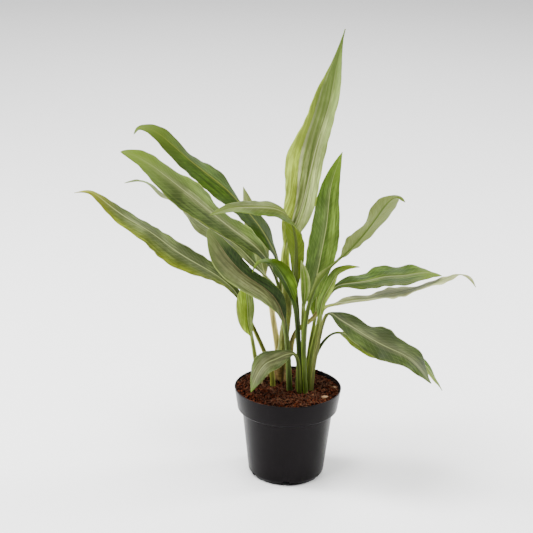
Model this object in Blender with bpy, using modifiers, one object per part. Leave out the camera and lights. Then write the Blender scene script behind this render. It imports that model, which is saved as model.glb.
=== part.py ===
"""A potted chinese evergreen: twenty long-stalked leaves on two stems in a round nursery pot.

The frame's origin is the middle of the pot's underside, +Z is up, and the pot's axis is Z.
The plant leans and reaches most to -X, and its front is the side towards -Y.
"""
import math
from dataclasses import dataclass

import bmesh
import bpy
import numpy as np
from mathutils import Matrix, Vector

MM = 0.001
GAP = 0.3 * MM              # kept between pieces that touch on the real plant
TURN_STEPS = 48             # flats round the pot and the potting mix
WELD = 0.05 * MM            # points of a turned shape closer than this are one point

# Pot: radii from its axis, heights from the surface it stands on
POT_HEIGHT = 104 * MM
POT_WALL = 1.2 * MM
RIM_RADIUS = 60 * MM
COLLAR_FOOT_RADIUS = 56.2 * MM
COLLAR_FOOT = POT_HEIGHT - 24.5 * MM
NECK_RADIUS = 50.8 * MM     # a short ledge leads from the collar's foot in to the neck
NECK = POT_HEIGHT - 28 * MM
LEDGE_LIFT = 1 * MM         # the ledge lies this much higher on the inside
WALL_FOOT_RADIUS = 42.6 * MM
WALL_FOOT = 5 * MM
FOOT_RADIUS = 39.3 * MM
FOOT_RING = 28 * MM         # inner edge of the ring that the pot stands on
ARCH_OUTER = 26 * MM        # the floor is raised between this radius and the next
ARCH_INNER = 16 * MM
ARCH_RISE = 2.5 * MM
PAD_RADIUS = 14 * MM        # flat middle of the floor, level with the foot ring

# Drain notches through the corner between the wall and the floor
NOTCH_COUNT = 6
NOTCH_HEIGHT = 6 * MM
NOTCH_WIDTH_LOW = 8.3 * MM
NOTCH_WIDTH_HIGH = 5.2 * MM
NOTCH_FROM = 33 * MM
NOTCH_TO = 45 * MM
NOTCH_BELOW = 1 * MM

# Potting mix: it lies high at the left of the rim and low at the right
SOIL_LEVEL = 101 * MM
SOIL_SLOPE = 2 * MM
SOIL_HIGH_SIDE = math.radians(205)
SOIL_LUMP = 0.6 * MM
SOIL_LUMP_PITCH = 17 * MM
SOIL_RINGS = 8
SOIL_CORNER = 1 * MM

# Stems and stalks stand this deep in the potting mix
PLANTED = 10 * MM
CUTTER_ABOVE = 12 * MM
HOLE_SIDES = 12

# Stems: the points of the axis and the radius there, in millimetres
CANE_AXIS = (
    (-9, 27, 88, 8.5),
    (-9, 27, 98, 8.5),
    (-9, 27, 105, 8.5),
    (-9, 27, 113, 8.0),
    (-8, 26, 122, 7.0),
    (-6, 25, 138, 6.3),
    (-5, 24, 160, 5.4),
    (-3, 23, 178, 5.0),
    (-3, 22, 195, 5.8),
    (-4, 21, 212, 5.3),
    (-4, 20, 226.9, 5.2),
)
CANE_PIECES = 18
STEM_AXIS = (
    (17, 2, 88, 3.2),
    (17, 2, 120, 3.2),
    (16, 2, 159.5, 2.8),
)
STEM_PIECES = 6
STEM_BEVEL = 4              # steps of a quarter of the round

# Leaves
ACROSS = 5                  # points from margin to margin
STALK_ROWS = 8
BLADE_ROWS = 18
SKIN = 0.32 * MM            # half the thickness of the blade
TANGENT_STEP = 4 * MM
CURVE_SAMPLES = 600
RUFFLE = 0.6                # a wave also moves the margin outwards by this share of its height
WAVE_POWER = 1.5            # how fast a wave dies away from the margin to the midrib
OPENS = 0.1                 # share of the blade in which the round stalk becomes a flat blade
RIB_THINS = 0.85            # share of its radius that the midrib loses on its way to the tip
RIB_SPREAD = 1.2            # how far the midrib's swelling reaches, in its own radii
STALK_CORNER = 0.02         # keeps the two skins of a stalk apart at its sides

# Colours, with their roughness
SOIL_LOOK = ((0.10, 0.045, 0.025), 0.95)
POT_LOOK = ((0.018, 0.017, 0.019), 0.42)
CANE_LOOK = ((0.30, 0.24, 0.12), 0.7)
STEM_LOOK = ((0.24, 0.30, 0.10), 0.55)
LEAF_ROUGHNESS = 0.45
LEAF_COLOURS = {
    "dark": (0.10, 0.17, 0.05),
    "silver": (0.26, 0.33, 0.17),
    "young": (0.36, 0.46, 0.10),
}


@dataclass
class Leaf:
    """One leaf, its stalk and blade grown in one piece. Lengths are in millimetres."""

    name: str
    look: str               # a key of LEAF_COLOURS
    path: tuple             # the midrib's points, from the foot of the stalk to the tip
    base: int               # the point of the path where the blade begins
    half_width: tuple       # from the midrib to the left and the right margin, at the widest
    widest: float           # where that is, as a share of the blade's length
    fullness: float         # power of the outline: a small one is blunt, a large one pointed
    faces: tuple            # where the upper side looks, in even steps along the blade
    fold: tuple             # degrees that each half is raised, in even steps along the blade
    left: tuple             # waves of the left margin: height, count along the blade, start
    right: tuple            # the same for the right margin
    stalk: tuple            # radius at the foot and at the blade
    planted: bool = True    # stands in a hole in the potting mix, not on a stem


LEAVES = (
    # The long wavy leaf that reaches furthest to the left
    Leaf("leaf_big_left", "silver",
         ((-17, 4, 99), (-19, 8, 120), (-26, 11, 138), (-38, 14, 164), (-49, 16, 187), (-61, 16, 210),
          (-79, 13, 228), (-100, 8, 243), (-126, 0, 262), (-154, -10, 287), (-180, -18, 306),
          (-203, -24, 326), (-219, -28, 337), (-234, -30, 336)),
         base=4, half_width=(21, 18), widest=0.48, fullness=1.25,
         faces=((0.2, -0.5, 0.8), (0.1, -0.45, 0.9), (0.0, -0.4, 0.9), (0, -0.6, 0.8)),
         fold=(25, 0, -15, 0), left=(5.0, 2.3, 0.7), right=(0.5, 3.0, 0.2), stalk=(2.4, 1.9)),
    # The highest of the left-hand leaves, dark, with a hooked tip
    Leaf("leaf_upper_left", "dark",
         ((-9, 28, 192), (-10, 29, 214), (-14, 32, 240), (-26, 36, 266), (-42, 40, 288), (-58, 44, 305),
          (-75, 48, 321), (-93, 52, 334), (-116, 56, 351), (-139, 60, 370), (-159, 64, 382),
          (-172, 66, 382), (-177, 66, 375)),
         base=2, half_width=(17, 19), widest=0.5, fullness=0.75,
         faces=((0.6, -0.5, 0.5), (0.4, -0.35, 0.8), (0.1, -0.35, 0.9), (0, -0.4, 0.9)),
         fold=(0, -20, -15, 0), left=(2.5, 3.0, 0.3), right=(3.0, 3.0, 0.68), stalk=(2.2, 1.8),
         planted=False),
    # The middle one, with a silver band along its midrib
    Leaf("leaf_mid_left", "silver",
         ((-9.5, 16.5, 198), (-15, 12, 226), (-28, 8, 254), (-45, 6, 272), (-65, 3, 288), (-89, -2, 309),
          (-115, -7, 332), (-143, -12, 356), (-167, -16, 373), (-185, -20, 380)),
         base=1, half_width=(22, 22), widest=0.6, fullness=0.65,
         faces=((0.3, -0.4, 0.8), (0.2, -0.4, 0.9), (0.0, -0.5, 0.9), (0, -0.4, 0.9)),
         fold=(10, 0, -10, 0), left=(1.5, 2.5, 0.05), right=(2.5, 3.1, 0.42), stalk=(2.2, 1.8),
         planted=False),
    # The one behind it, seen edge on
    Leaf("leaf_thin_left", "dark",
         ((-5, 30, 179), (-12, 36, 203), (-23, 39, 216), (-37, 43, 231), (-50, 49, 243), (-64, 59, 252),
          (-86, 76, 259), (-108, 86, 270), (-129, 94, 285), (-150, 102, 298), (-169, 108, 307),
          (-191, 112, 304)),
         base=2, half_width=(17, 14), widest=0.5, fullness=0.9,
         faces=((0, -0.1, 1), (0, -0.4, 0.9), (0, -0.1, 1), (0, 0.3, 0.9), (0, 0.3, 0.9)),
         fold=(10, 10, 0, 0), left=(4.5, 3.0, 0.4), right=(3.0, 3.0, 0.5), stalk=(2.0, 1.6),
         planted=False),
    # Rises in the middle with its underside to the front, then bends over to the left
    Leaf("leaf_bent_front", "silver",
         ((11, -1, 99), (11, 1, 136), (10, 3, 171), (8, 4, 200), (6, 4, 220), (6, 1, 245), (6, -3, 270),
          (3, -8, 292), (-4, -14, 309), (-18, -22, 320), (-39, -34, 325), (-62, -46, 328),
          (-88, -58, 323)),
         base=4, half_width=(14, 16), widest=0.56, fullness=0.8,
         faces=((0.3, 0.9, 0.1), (0.4, 0.9, 0.2), (0.3, -0.1, 0.9), (0, -0.5, 0.9), (0, -0.4, 0.9)),
         fold=(10, 0, 0, 10), left=(4.0, 1.0, 0.25), right=(3.0, 1.0, 0.0), stalk=(2.2, 1.8)),
    # The tallest leaf, the youngest of the cane, on whose top it stands
    Leaf("leaf_tallest", "young",
         ((-4, 20, 228), (-6, 20, 245), (-5, 20, 264), (2, 20, 285), (9, 21, 304), (15, 24, 328),
          (21, 29, 357), (29, 34, 390), (38, 40, 422), (44, 46, 458), (53, 52, 502)),
         base=2, half_width=(27, 20), widest=0.38, fullness=1.2,
         faces=((-0.2, -1, 0.1), (-0.5, -0.9, 0.1), (-0.5, -0.9, 0.1), (0.0, -0.9, 0.2)),
         fold=(25, 28, 28, 20), left=(2.5, 3.1, 0.03), right=(4.0, 1.7, 0.0), stalk=(4.5, 3.6),
         planted=False),
    # The upright one to the right of it
    Leaf("leaf_right_upright", "silver",
         ((18, 10, 99), (17, 8, 145), (18, 8, 175), (22, 9, 201), (28, 13, 227), (34, 18, 261),
          (39, 24, 294), (42, 32, 328), (54, 44, 366)),
         base=3, half_width=(21, 16), widest=0.4, fullness=0.85,
         faces=((0.4, -1, 0.2), (0.4, -1, 0.2), (0.1, -1, 0.2)),
         fold=(15, 15, 15), left=(1.2, 2.0, 0.0), right=(1.2, 2.0, 0.5), stalk=(2.4, 2.0)),
    # A narrow dark leaf that arches over to the left in front of the stems
    Leaf("leaf_small_arch", "dark",
         ((16, -7, 99), (13, -6, 133), (10, -4, 162), (8, -4, 185), (4, -5, 208), (-5, -8, 232),
          (-15, -12, 249), (-27, -20, 260), (-37, -26, 259), (-42, -30, 250)),
         base=4, half_width=(7, 11), widest=0.4, fullness=0.9,
         faces=((0.3, -0.6, 0.6), (0.2, -0.6, 0.8), (-0.4, -0.5, 0.8), (-0.7, -0.5, 0.3)),
         fold=(10, 0, 0), left=(0.6, 1.0, 0.0), right=(2.5, 1.0, 0.0), stalk=(2.5, 2.2)),
    # The broad blunt leaf in front, half silver and half green
    Leaf("leaf_front_ovate", "silver",
         ((2, -7, 99), (0, -4, 130), (-2, -1, 157), (-6, 0, 182), (-13, -3, 204), (-26, -9, 222),
          (-44, -18, 238), (-57, -26, 252), (-70, -33, 270), (-80, -38, 287), (-90, -40, 302)),
         base=3, half_width=(22, 12), widest=0.55, fullness=0.6,
         faces=((0.3, -0.7, 0.4), (0.3, -0.8, 0.5), (0.2, -0.8, 0.5), (-0.2, -0.9, 0.4)),
         fold=(30, 25, 15, 20), left=(4.0, 1.8, 0.8), right=(2.5, 1.5, 0.0), stalk=(2.7, 2.4)),
    # A young leaf still folded along its midrib
    Leaf("leaf_young_left", "young",
         ((-33, 17, 98), (-36, 12, 124), (-40, 6, 151), (-42, 3, 163), (-45, 0, 176), (-47, -4, 201),
          (-50, -8, 228)),
         base=3, half_width=(17, 9), widest=0.6, fullness=0.6,
         faces=((0.2, -1, 0.1), (0.1, -1, 0.1), (0.1, -1, 0.1)),
         fold=(30, 40, 30), left=(0.5, 1.0, 0.0), right=(0.5, 1.0, 0.5), stalk=(2.3, 1.8)),
    # Reaches up to the right and shows its pale underside
    Leaf("leaf_right_up", "young",
         ((20, -12, 99), (17, -11, 141), (16, -10, 170), (19, -8, 197), (25, -8, 222), (37, -9, 245),
          (53, -12, 263), (69, -16, 281), (81, -20, 298), (92, -24, 316), (103, -28, 333),
          (112, -31, 339), (120, -32, 334)),
         base=4, half_width=(22, 17), widest=0.7, fullness=0.8,
         faces=((-0.5, 0.6, 0.6), (-0.5, 0.6, 0.6), (-0.4, 0.6, 0.7), (0.0, 0.5, 0.9)),
         fold=(10, 5, 5, 0), left=(1.0, 1.5, 0.0), right=(3.5, 2.6, 0.0), stalk=(2.4, 2.1)),
    # A small rolled leaf right of the stems, its tip held level like a flag
    Leaf("leaf_young_right", "young",
         ((23, -1, 99), (24, -2, 137), (29, -4, 168), (33, -6, 192), (37, -8, 214), (45, -9, 231),
          (53, -10, 245), (61, -12, 250), (75, -14, 253)),
         base=3, half_width=(9, 5), widest=0.38, fullness=0.8,
         faces=((0.2, -0.9, 0.2), (0.3, -0.8, 0.3), (-0.2, -0.6, 0.7), (0, -0.6, 0.8)),
         fold=(30, 30, 20), left=(0.3, 1.0, 0.0), right=(0.3, 1.0, 0.5), stalk=(2.2, 1.8)),
    # The upper of the two level leaves to the right
    Leaf("leaf_right_level", "silver",
         ((2.5, 22, 137), (5, 22, 154), (11, 22, 165), (21, 22, 173), (32, 22, 186), (40, 22, 200),
          (50, 23, 215), (67, 27, 219), (86, 33, 220), (106, 39, 223), (129, 45, 223), (152, 50, 225),
          (172, 60, 218)),
         base=5, half_width=(20, 20), widest=0.6, fullness=0.9,
         faces=((-0.2, -0.3, 0.9), (0, -0.25, 0.95), (0, -0.3, 0.95), (0, -0.1, 1)),
         fold=(20, 0, 0, 0), left=(1.5, 4.0, 0.19), right=(3.0, 1.25, 0.5), stalk=(2.7, 2.1),
         planted=False),
    # The lower of them, which reaches furthest to the right, seen edge on
    Leaf("leaf_right_edge", "silver",
         ((24, 5, 99), (25, 5, 132), (30, 4, 161), (34, 4, 183), (39, 5, 198), (49, 9, 200),
          (65, 15, 202), (86, 23, 202), (108, 30, 204), (130, 37, 207), (154, 44, 212), (177, 50, 218),
          (195, 55, 222), (211, 58, 206)),
         base=5, half_width=(17, 17), widest=0.45, fullness=0.9,
         faces=((0, 0.1, 1), (0, 0.1, 1), (0, 0.2, 0.95), (0.1, 0.3, 0.9)),
         fold=(15, 5, 0, 0), left=(1.5, 3.0, 0.0), right=(1.5, 3.0, 0.5), stalk=(2.4, 2.0)),
    # The broad leaf that hangs to the right
    Leaf("leaf_lower_right", "dark",
         ((26, -6, 99), (29, -7, 139), (33, -8, 164), (37, -10, 185), (43, -14, 198), (53, -22, 196),
          (66, -31, 191), (86, -44, 183), (109, -56, 175), (127, -64, 169), (141, -70, 158),
          (154, -74, 142)),
         base=4, half_width=(25, 20), widest=0.5, fullness=0.8,
         faces=((0.4, -0.5, 0.7), (0.3, -0.45, 0.8), (0.3, -0.5, 0.8), (0.5, -0.3, 0.8)),
         fold=(10, -5, -5, 0), left=(2.5, 3.0, 0.9), right=(2.5, 3.0, 0.15), stalk=(2.2, 1.8)),
    # The leaf under it, on a thin stalk
    Leaf("leaf_under_right", "silver",
         ((24, 14, 99), (24, 12, 112), (27, 10, 127), (32, 8, 143), (38, 5, 156), (47, 0, 168),
          (57, -8, 173), (73, -16, 168), (91, -26, 163), (113, -36, 161), (132, -44, 161),
          (147, -50, 155), (158, -54, 142), (168, -57, 127)),
         base=6, half_width=(14, 17), widest=0.36, fullness=0.9,
         faces=((0.3, -0.3, 0.9), (0.3, -0.3, 0.9), (0.3, -0.3, 0.9), (0.5, -0.2, 0.8)),
         fold=(10, 0, 0, 0), left=(1.0, 2.0, 0.0), right=(1.0, 2.0, 0.3), stalk=(1.9, 1.5)),
    # A small leaf that droops over the front of the rim
    Leaf("leaf_drooping", "silver",
         ((13, -13, 99), (12, -14, 124), (10, -15, 141), (6, -17, 150), (-4, -22, 151), (-15, -28, 148),
          (-25, -34, 145), (-34, -39, 134), (-41, -42, 114)),
         base=3, half_width=(13, 13), widest=0.5, fullness=0.9,
         faces=((-0.2, -0.8, 0.6), (-0.3, -0.8, 0.6), (-0.5, -0.7, 0.5), (-0.7, -0.7, 0.3)),
         fold=(10, 5, 0), left=(1.0, 1.5, 0.0), right=(1.0, 1.5, 0.5), stalk=(2.2, 1.7)),
    # A short striped leaf on top of the right-hand stem, not yet unrolled
    Leaf("leaf_striped", "silver",
         ((16, 2, 160), (15, 2, 181), (15, 0, 200), (16, -2, 218), (15, -4, 237), (11, -5, 256)),
         base=2, half_width=(7, 7), widest=0.5, fullness=0.9,
         faces=((0.2, -1, 0.1), (0.1, -1, 0.1), (0.1, -1, 0.1)),
         fold=(40, 40, 30), left=(0.3, 1.0, 0.0), right=(0.3, 1.0, 0.5), stalk=(2.2, 1.9),
         planted=False),
    # A short leaf at the back
    Leaf("leaf_back_short", "young",
         ((21, 20, 99), (23, 26, 132), (26, 31, 154), (29, 34, 174), (30, 37, 192), (31, 41, 207),
          (29, 46, 229)),
         base=3, half_width=(8, 8), widest=0.4, fullness=0.9,
         faces=((0.1, -1, 0.2), (0.1, -1, 0.2), (0.1, -1, 0.2)),
         fold=(10, 10, 10), left=(0.3, 1.0, 0.0), right=(0.3, 1.0, 0.5), stalk=(2.0, 1.7)),
    # A leaf on a thick pale stalk behind the cane
    Leaf("leaf_back_left", "dark",
         ((-11, 42, 99), (-12, 42, 130), (-17, 43, 161), (-22, 48, 189), (-29, 58, 216), (-36, 70, 243),
          (-43, 79, 270), (-49, 84, 291), (-55, 88, 310)),
         base=4, half_width=(13, 13), widest=0.4, fullness=0.9,
         faces=((0.3, -0.9, 0.2), (0.3, -0.9, 0.2), (0.3, -0.9, 0.2)),
         fold=(10, 10, 10), left=(1.0, 1.5, 0.0), right=(1.0, 1.5, 0.5), stalk=(3.4, 2.2)),
)


def new_collection(name):
    collection = bpy.data.collections.new(name)
    bpy.context.scene.collection.children.link(collection)
    return collection


def new_material(name, colour, roughness):
    material = bpy.data.materials.new(name)
    material.use_nodes = True
    shader = material.node_tree.nodes["Principled BSDF"]
    shader.inputs["Base Color"].default_value = (*colour, 1.0)
    shader.inputs["Roughness"].default_value = roughness
    shader.inputs["Metallic"].default_value = 0.0
    material.diffuse_color = (*colour, 1.0)
    return material


def add_object(name, data, collection, material=None):
    obj = bpy.data.objects.new(name, data)
    collection.objects.link(obj)
    if material:
        data.materials.append(material)
    return obj


def add_turned(name, profile, collection, material):
    """A round shape: a profile of (radius, height), down its outer side, turned about Z."""
    mesh = bpy.data.meshes.new(name)
    points = [(radius, 0.0, height) for radius, height in profile]
    mesh.from_pydata(points, [(i, i + 1) for i in range(len(points) - 1)], [])
    obj = add_object(name, mesh, collection, material)
    screw = obj.modifiers.new("turn", "SCREW")
    screw.steps = TURN_STEPS
    screw.render_steps = TURN_STEPS
    screw.use_merge_vertices = True
    screw.merge_threshold = WELD
    screw.use_smooth_shade = False
    return obj


def apply_modifiers(obj):
    """The mesh of the object as its modifiers leave it, in place of the one it had."""
    shape = obj.evaluated_get(bpy.context.evaluated_depsgraph_get())
    mesh = bpy.data.meshes.new_from_object(shape)
    obj.modifiers.clear()
    obj.data = mesh


def cut_away(obj, cutters):
    """Take the cutters out of the object, and show them as wires only."""
    for cutter in cutters:
        cut = obj.modifiers.new(cutter.name, "BOOLEAN")
        cut.operation = "DIFFERENCE"
        cut.solver = "EXACT"
        cut.object = cutter
        cutter.hide_render = True
        cutter.display_type = "WIRE"


def pot_outside():
    """The pot's outer wall as (radius, height), from the rim down to its foot."""
    return [
        (RIM_RADIUS, POT_HEIGHT),
        (COLLAR_FOOT_RADIUS, COLLAR_FOOT),
        (NECK_RADIUS, NECK),
        (WALL_FOOT_RADIUS, WALL_FOOT),
        (FOOT_RADIUS, 0.0),
    ]


def pot_inside():
    """The pot's inner wall as (radius, height), from the floor's edge up to the rim."""
    return [
        (FOOT_RADIUS - POT_WALL, POT_WALL),
        (WALL_FOOT_RADIUS - POT_WALL, WALL_FOOT + GAP),
        (NECK_RADIUS - POT_WALL, NECK + LEDGE_LIFT),
        (COLLAR_FOOT_RADIUS - POT_WALL, COLLAR_FOOT + LEDGE_LIFT),
        (RIM_RADIUS - POT_WALL, POT_HEIGHT),
    ]


def inside_radius(height):
    radii, heights = zip(*pot_inside())
    return float(np.interp(height, heights, radii))


def pot_floor(lift):
    """The floor as (radius, height), from the axis out: a flat pad, a raised ring, a foot ring."""
    return [
        (0.0, lift),
        (PAD_RADIUS, lift),
        (ARCH_INNER, lift + ARCH_RISE),
        (ARCH_OUTER, lift + ARCH_RISE),
        (FOOT_RING, lift),
    ]


def drain_notch(index, collection):
    """A wedge narrower at its top, through the corner of the pot. The first one is at the front."""
    mesh = bpy.data.meshes.new("drain_notch")
    shape = bmesh.new()
    bmesh.ops.create_cube(shape, size=1.0)
    for vertex in shape.verts:
        high = vertex.co.z > 0
        width = NOTCH_WIDTH_HIGH if high else NOTCH_WIDTH_LOW
        vertex.co.y *= width
        vertex.co.x = NOTCH_TO if vertex.co.x > 0 else NOTCH_FROM
        vertex.co.z = NOTCH_HEIGHT if high else -NOTCH_BELOW
    shape.to_mesh(mesh)
    shape.free()
    cutter = add_object(f"drain_notch_{index}", mesh, collection)
    cutter.rotation_euler.z = 2 * math.pi * index / NOTCH_COUNT - math.pi / 2
    return cutter


def make_pot(collection, cutters):
    profile = pot_floor(POT_WALL) + pot_inside() + pot_outside() + pot_floor(0.0)[::-1]
    pot = add_turned("pot", profile, collection, new_material("pot", *POT_LOOK))
    notches = [drain_notch(index, cutters) for index in range(NOTCH_COUNT)]
    cut_away(pot, notches)


def soil_height(x, y):
    """The surface of the potting mix: a slope across the pot with low lumps on it."""
    across = x * math.cos(SOIL_HIGH_SIDE) + y * math.sin(SOIL_HIGH_SIDE)
    slope = SOIL_SLOPE * across / RIM_RADIUS
    wave = 2 * math.pi / SOIL_LUMP_PITCH
    lump = SOIL_LUMP * math.sin(wave * x + 1.0) * math.cos(wave * y)
    return SOIL_LEVEL + slope + lump


def make_soil(collection, cutters, holes):
    """The potting mix fills the pot, and each stem and stalk stands in a hole in it."""
    bottom = POT_WALL + ARCH_RISE + GAP
    rim = inside_radius(SOIL_LEVEL)
    corner = inside_radius(bottom) - GAP - SOIL_CORNER
    profile = [(rim * ring / SOIL_RINGS, SOIL_LEVEL) for ring in range(SOIL_RINGS)]
    profile += [(rim - GAP, SOIL_LEVEL)]
    profile += [(radius - GAP, height) for radius, height in pot_inside()[3:0:-1]]
    profile += [(corner, bottom), (0.0, bottom)]
    soil = add_turned("soil", profile, collection, new_material("soil", *SOIL_LOOK))
    apply_modifiers(soil)
    for vertex in soil.data.vertices:
        x, y, z = vertex.co
        if z < SOIL_LEVEL - GAP:
            continue
        height = soil_height(x, y)
        vertex.co.z = height
        radius = math.hypot(x, y)
        if radius > rim - 2 * GAP:
            shrink = (inside_radius(height) - GAP) / radius
            vertex.co.x = x * shrink
            vertex.co.y = y * shrink
    cut_away(soil, [stem_hole(cutters, *hole) for hole in holes])


def stem_hole(collection, name, foot, along, radius):
    """A round hole for a stem that stands at the foot and leans along a direction."""
    depth = PLANTED + GAP
    length = depth + CUTTER_ABOVE
    outer = (radius + GAP) / math.cos(math.pi / HOLE_SIDES)
    mesh = bpy.data.meshes.new(name + "_hole")
    shape = bmesh.new()
    bmesh.ops.create_cone(shape, cap_ends=True, segments=HOLE_SIDES, radius1=outer, radius2=outer,
                          depth=length)
    shape.to_mesh(mesh)
    shape.free()
    cutter = add_object(name + "_hole", mesh, collection)
    axis = Vector(along).normalized()
    middle = Vector(foot) + axis * (CUTTER_ABOVE - depth) / 2
    turn = Vector((0, 0, 1)).rotation_difference(axis).to_matrix().to_4x4()
    cutter.matrix_world = Matrix.Translation(middle) @ turn
    return cutter


def smooth_curve(points):
    """A natural cubic spline through the points, as many close points and their arc lengths."""
    points = np.asarray(points, float)
    knots = np.concatenate([[0.0], np.cumsum(np.linalg.norm(np.diff(points, axis=0), axis=1))])
    knots = knots / knots[-1]
    spans = np.diff(knots)
    slopes = np.diff(points, axis=0) / spans[:, None]
    last = len(points) - 1
    system = np.eye(last + 1)
    target = np.zeros_like(points)
    for i in range(1, last):
        system[i, i - 1:i + 2] = spans[i - 1], 2 * (spans[i - 1] + spans[i]), spans[i]
        target[i] = 6 * (slopes[i] - slopes[i - 1])
    bend = np.linalg.solve(system, target)
    where = np.linspace(0, 1, CURVE_SAMPLES)
    j = np.clip(np.searchsorted(knots, where, side="right") - 1, 0, last - 1)
    d = (where - knots[j])[:, None]
    span = spans[j][:, None]
    curve = (points[j] + d * (slopes[j] - span * (2 * bend[j] + bend[j + 1]) / 6)
             + d ** 2 * bend[j] / 2 + d ** 3 * (bend[j + 1] - bend[j]) / (6 * span))
    lengths = np.concatenate([[0.0], np.cumsum(np.linalg.norm(np.diff(curve, axis=0), axis=1))])
    return curve, lengths, np.interp(knots, where, lengths)


def read_curve(curve, lengths, where):
    return np.stack([np.interp(where, lengths, curve[:, axis]) for axis in range(3)], axis=1)


def add_stem(name, axis, pieces, collection, material):
    """A round stem: a curve through the axis points, whose radius changes along it."""
    rows = np.array(axis, float) * MM
    curve, lengths, knots = smooth_curve(rows[:, :3])
    where = np.linspace(0, lengths[-1], pieces + 1)
    places = read_curve(curve, lengths, where)
    radii = np.interp(where, knots, rows[:, 3])
    data = bpy.data.curves.new(name, "CURVE")
    data.dimensions = "3D"
    data.bevel_depth = 1.0
    data.bevel_resolution = STEM_BEVEL
    data.use_fill_caps = True
    spline = data.splines.new("POLY")
    spline.points.add(pieces)
    for point, place, radius in zip(spline.points, places, radii):
        point.co = (*place, 1.0)
        point.radius = radius
    add_object(name, data, collection, material)


def stem_foot(name, axis):
    """Where a stem comes out of the potting mix: its name, foot, direction and radius."""
    low = np.array(axis[0], float) * MM
    high = np.array(axis[1], float) * MM
    along = high[:3] - low[:3]
    foot = low[:3] + along / np.linalg.norm(along) * PLANTED
    return name, foot, along, max(low[3], high[3])


def smooth_step(x):
    x = np.clip(x, 0, 1)
    return x * x * (3 - 2 * x)


def unit(vectors):
    return vectors / np.maximum(np.linalg.norm(vectors, axis=-1, keepdims=True), 1e-12)


def blade_outline(t, widest, fullness):
    """Half width as a share of the widest: one arch of a sine, pushed so it peaks at `widest`."""
    bent = np.clip(t, 0, 1) ** (math.log(0.5) / math.log(widest))
    return np.sin(np.pi * bent) ** fullness


def even_steps(t, values):
    """Values given in even steps along the blade, read at t."""
    values = np.asarray(values, float)
    steps = np.linspace(0, 1, len(values))
    if values.ndim == 1:
        return np.interp(t, steps, values)
    return np.stack([np.interp(t, steps, values[:, axis]) for axis in range(values.shape[1])], axis=1)


def leaf_foot(leaf):
    """Where a stalk comes out of the potting mix: its name, foot, direction and radius."""
    curve, lengths, _ = smooth_curve(np.array(leaf.path) * MM)
    along = read_curve(curve, lengths, [TANGENT_STEP])[0] - curve[0]
    return leaf.name, curve[0], along, leaf.stalk[0] * MM


def leaf_surfaces(leaf):
    """The upper and the lower skin of a leaf, each as rows of points from margin to margin.

    Each row lies across the midrib. A half is folded up by its angle, then lifted by the
    waves of its margin, and both skins are set off from that surface along its normal: by
    half the blade's thickness, by the round stalk, and below by the midrib too.
    """
    curve, lengths, knots = smooth_curve(np.array(leaf.path) * MM)
    total = lengths[-1]
    begin = knots[leaf.base]
    share = np.linspace(0, 1, BLADE_ROWS)
    share = (share + (1 - np.cos(np.pi * share)) / 2) / 2
    stalk_rows = np.linspace(0, begin, STALK_ROWS, endpoint=False)
    rows = np.concatenate([stalk_rows, begin + share * (total - begin)])
    t = np.clip((rows - begin) / (total - begin), 0, 1)
    place = read_curve(curve, lengths, rows)
    ahead = read_curve(curve, lengths, np.minimum(rows + TANGENT_STEP, total))
    behind = read_curve(curve, lengths, np.maximum(rows - TANGENT_STEP, 0))
    tangent = unit(ahead - behind)
    facing = even_steps((t + smooth_step(t)) / 2, unit(np.array(leaf.faces, float)))
    normal = unit(facing - np.sum(facing * tangent, axis=1, keepdims=True) * tangent)
    side = np.cross(tangent, normal)

    foot, neck = leaf.stalk
    radius = (foot + (neck - foot) * np.clip(rows / begin, 0, 1)) * MM
    radius = radius * (1 - RIB_THINS * smooth_step(t))
    u = np.linspace(-1, 1, ACROSS)[None, :]
    widths = np.where(u < 0, *leaf.half_width) * MM
    outline = blade_outline(t, leaf.widest, leaf.fullness)[:, None]
    half = np.hypot(radius[:, None], widths * outline)
    blade = smooth_step(t / OPENS)[:, None]
    fold = np.radians(even_steps(t, leaf.fold))[:, None]
    lateral = half * u * (1 + (np.cos(fold) - 1) * blade)
    rise = half * np.abs(u) * np.sin(fold) * blade
    swell = (np.sin(np.pi * t ** 0.8) ** 0.6)[:, None]
    for sign, (height, count, start) in ((-1, leaf.left), (1, leaf.right)):
        reach = np.clip(sign * u, 0, 1) ** WAVE_POWER
        wave = height * MM * swell * reach * np.sin(2 * np.pi * (count * t[:, None] + start))
        rise = rise + wave
        lateral = lateral + sign * RUFFLE * wave
    middle = place[:, None] + side[:, None] * lateral[..., None] + normal[:, None] * rise[..., None]

    skin_normal = unit(np.cross(np.gradient(middle, axis=1), np.gradient(middle, axis=0)))
    agrees = np.sum(skin_normal * normal[:, None], axis=-1, keepdims=True)
    skin_normal = skin_normal * np.where(agrees < 0, -1.0, 1.0)
    radius = radius[:, None]
    stalk_half = radius * np.sqrt(np.clip(1 - u ** 2, STALK_CORNER, 1))
    rib = radius * np.exp(-(half * u / (RIB_SPREAD * radius)) ** 2)
    above = np.maximum((1 - blade) * stalk_half + blade * SKIN, SKIN)
    below = np.maximum((1 - blade) * stalk_half + blade * (SKIN + rib), SKIN)
    upper = middle + skin_normal * above[..., None]
    lower = middle - skin_normal * below[..., None]
    if leaf.planted:
        sunk = -tangent[0] * PLANTED
        upper = np.concatenate([upper[:1] + sunk, upper])
        lower = np.concatenate([lower[:1] + sunk, lower])
    return upper, lower


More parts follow.
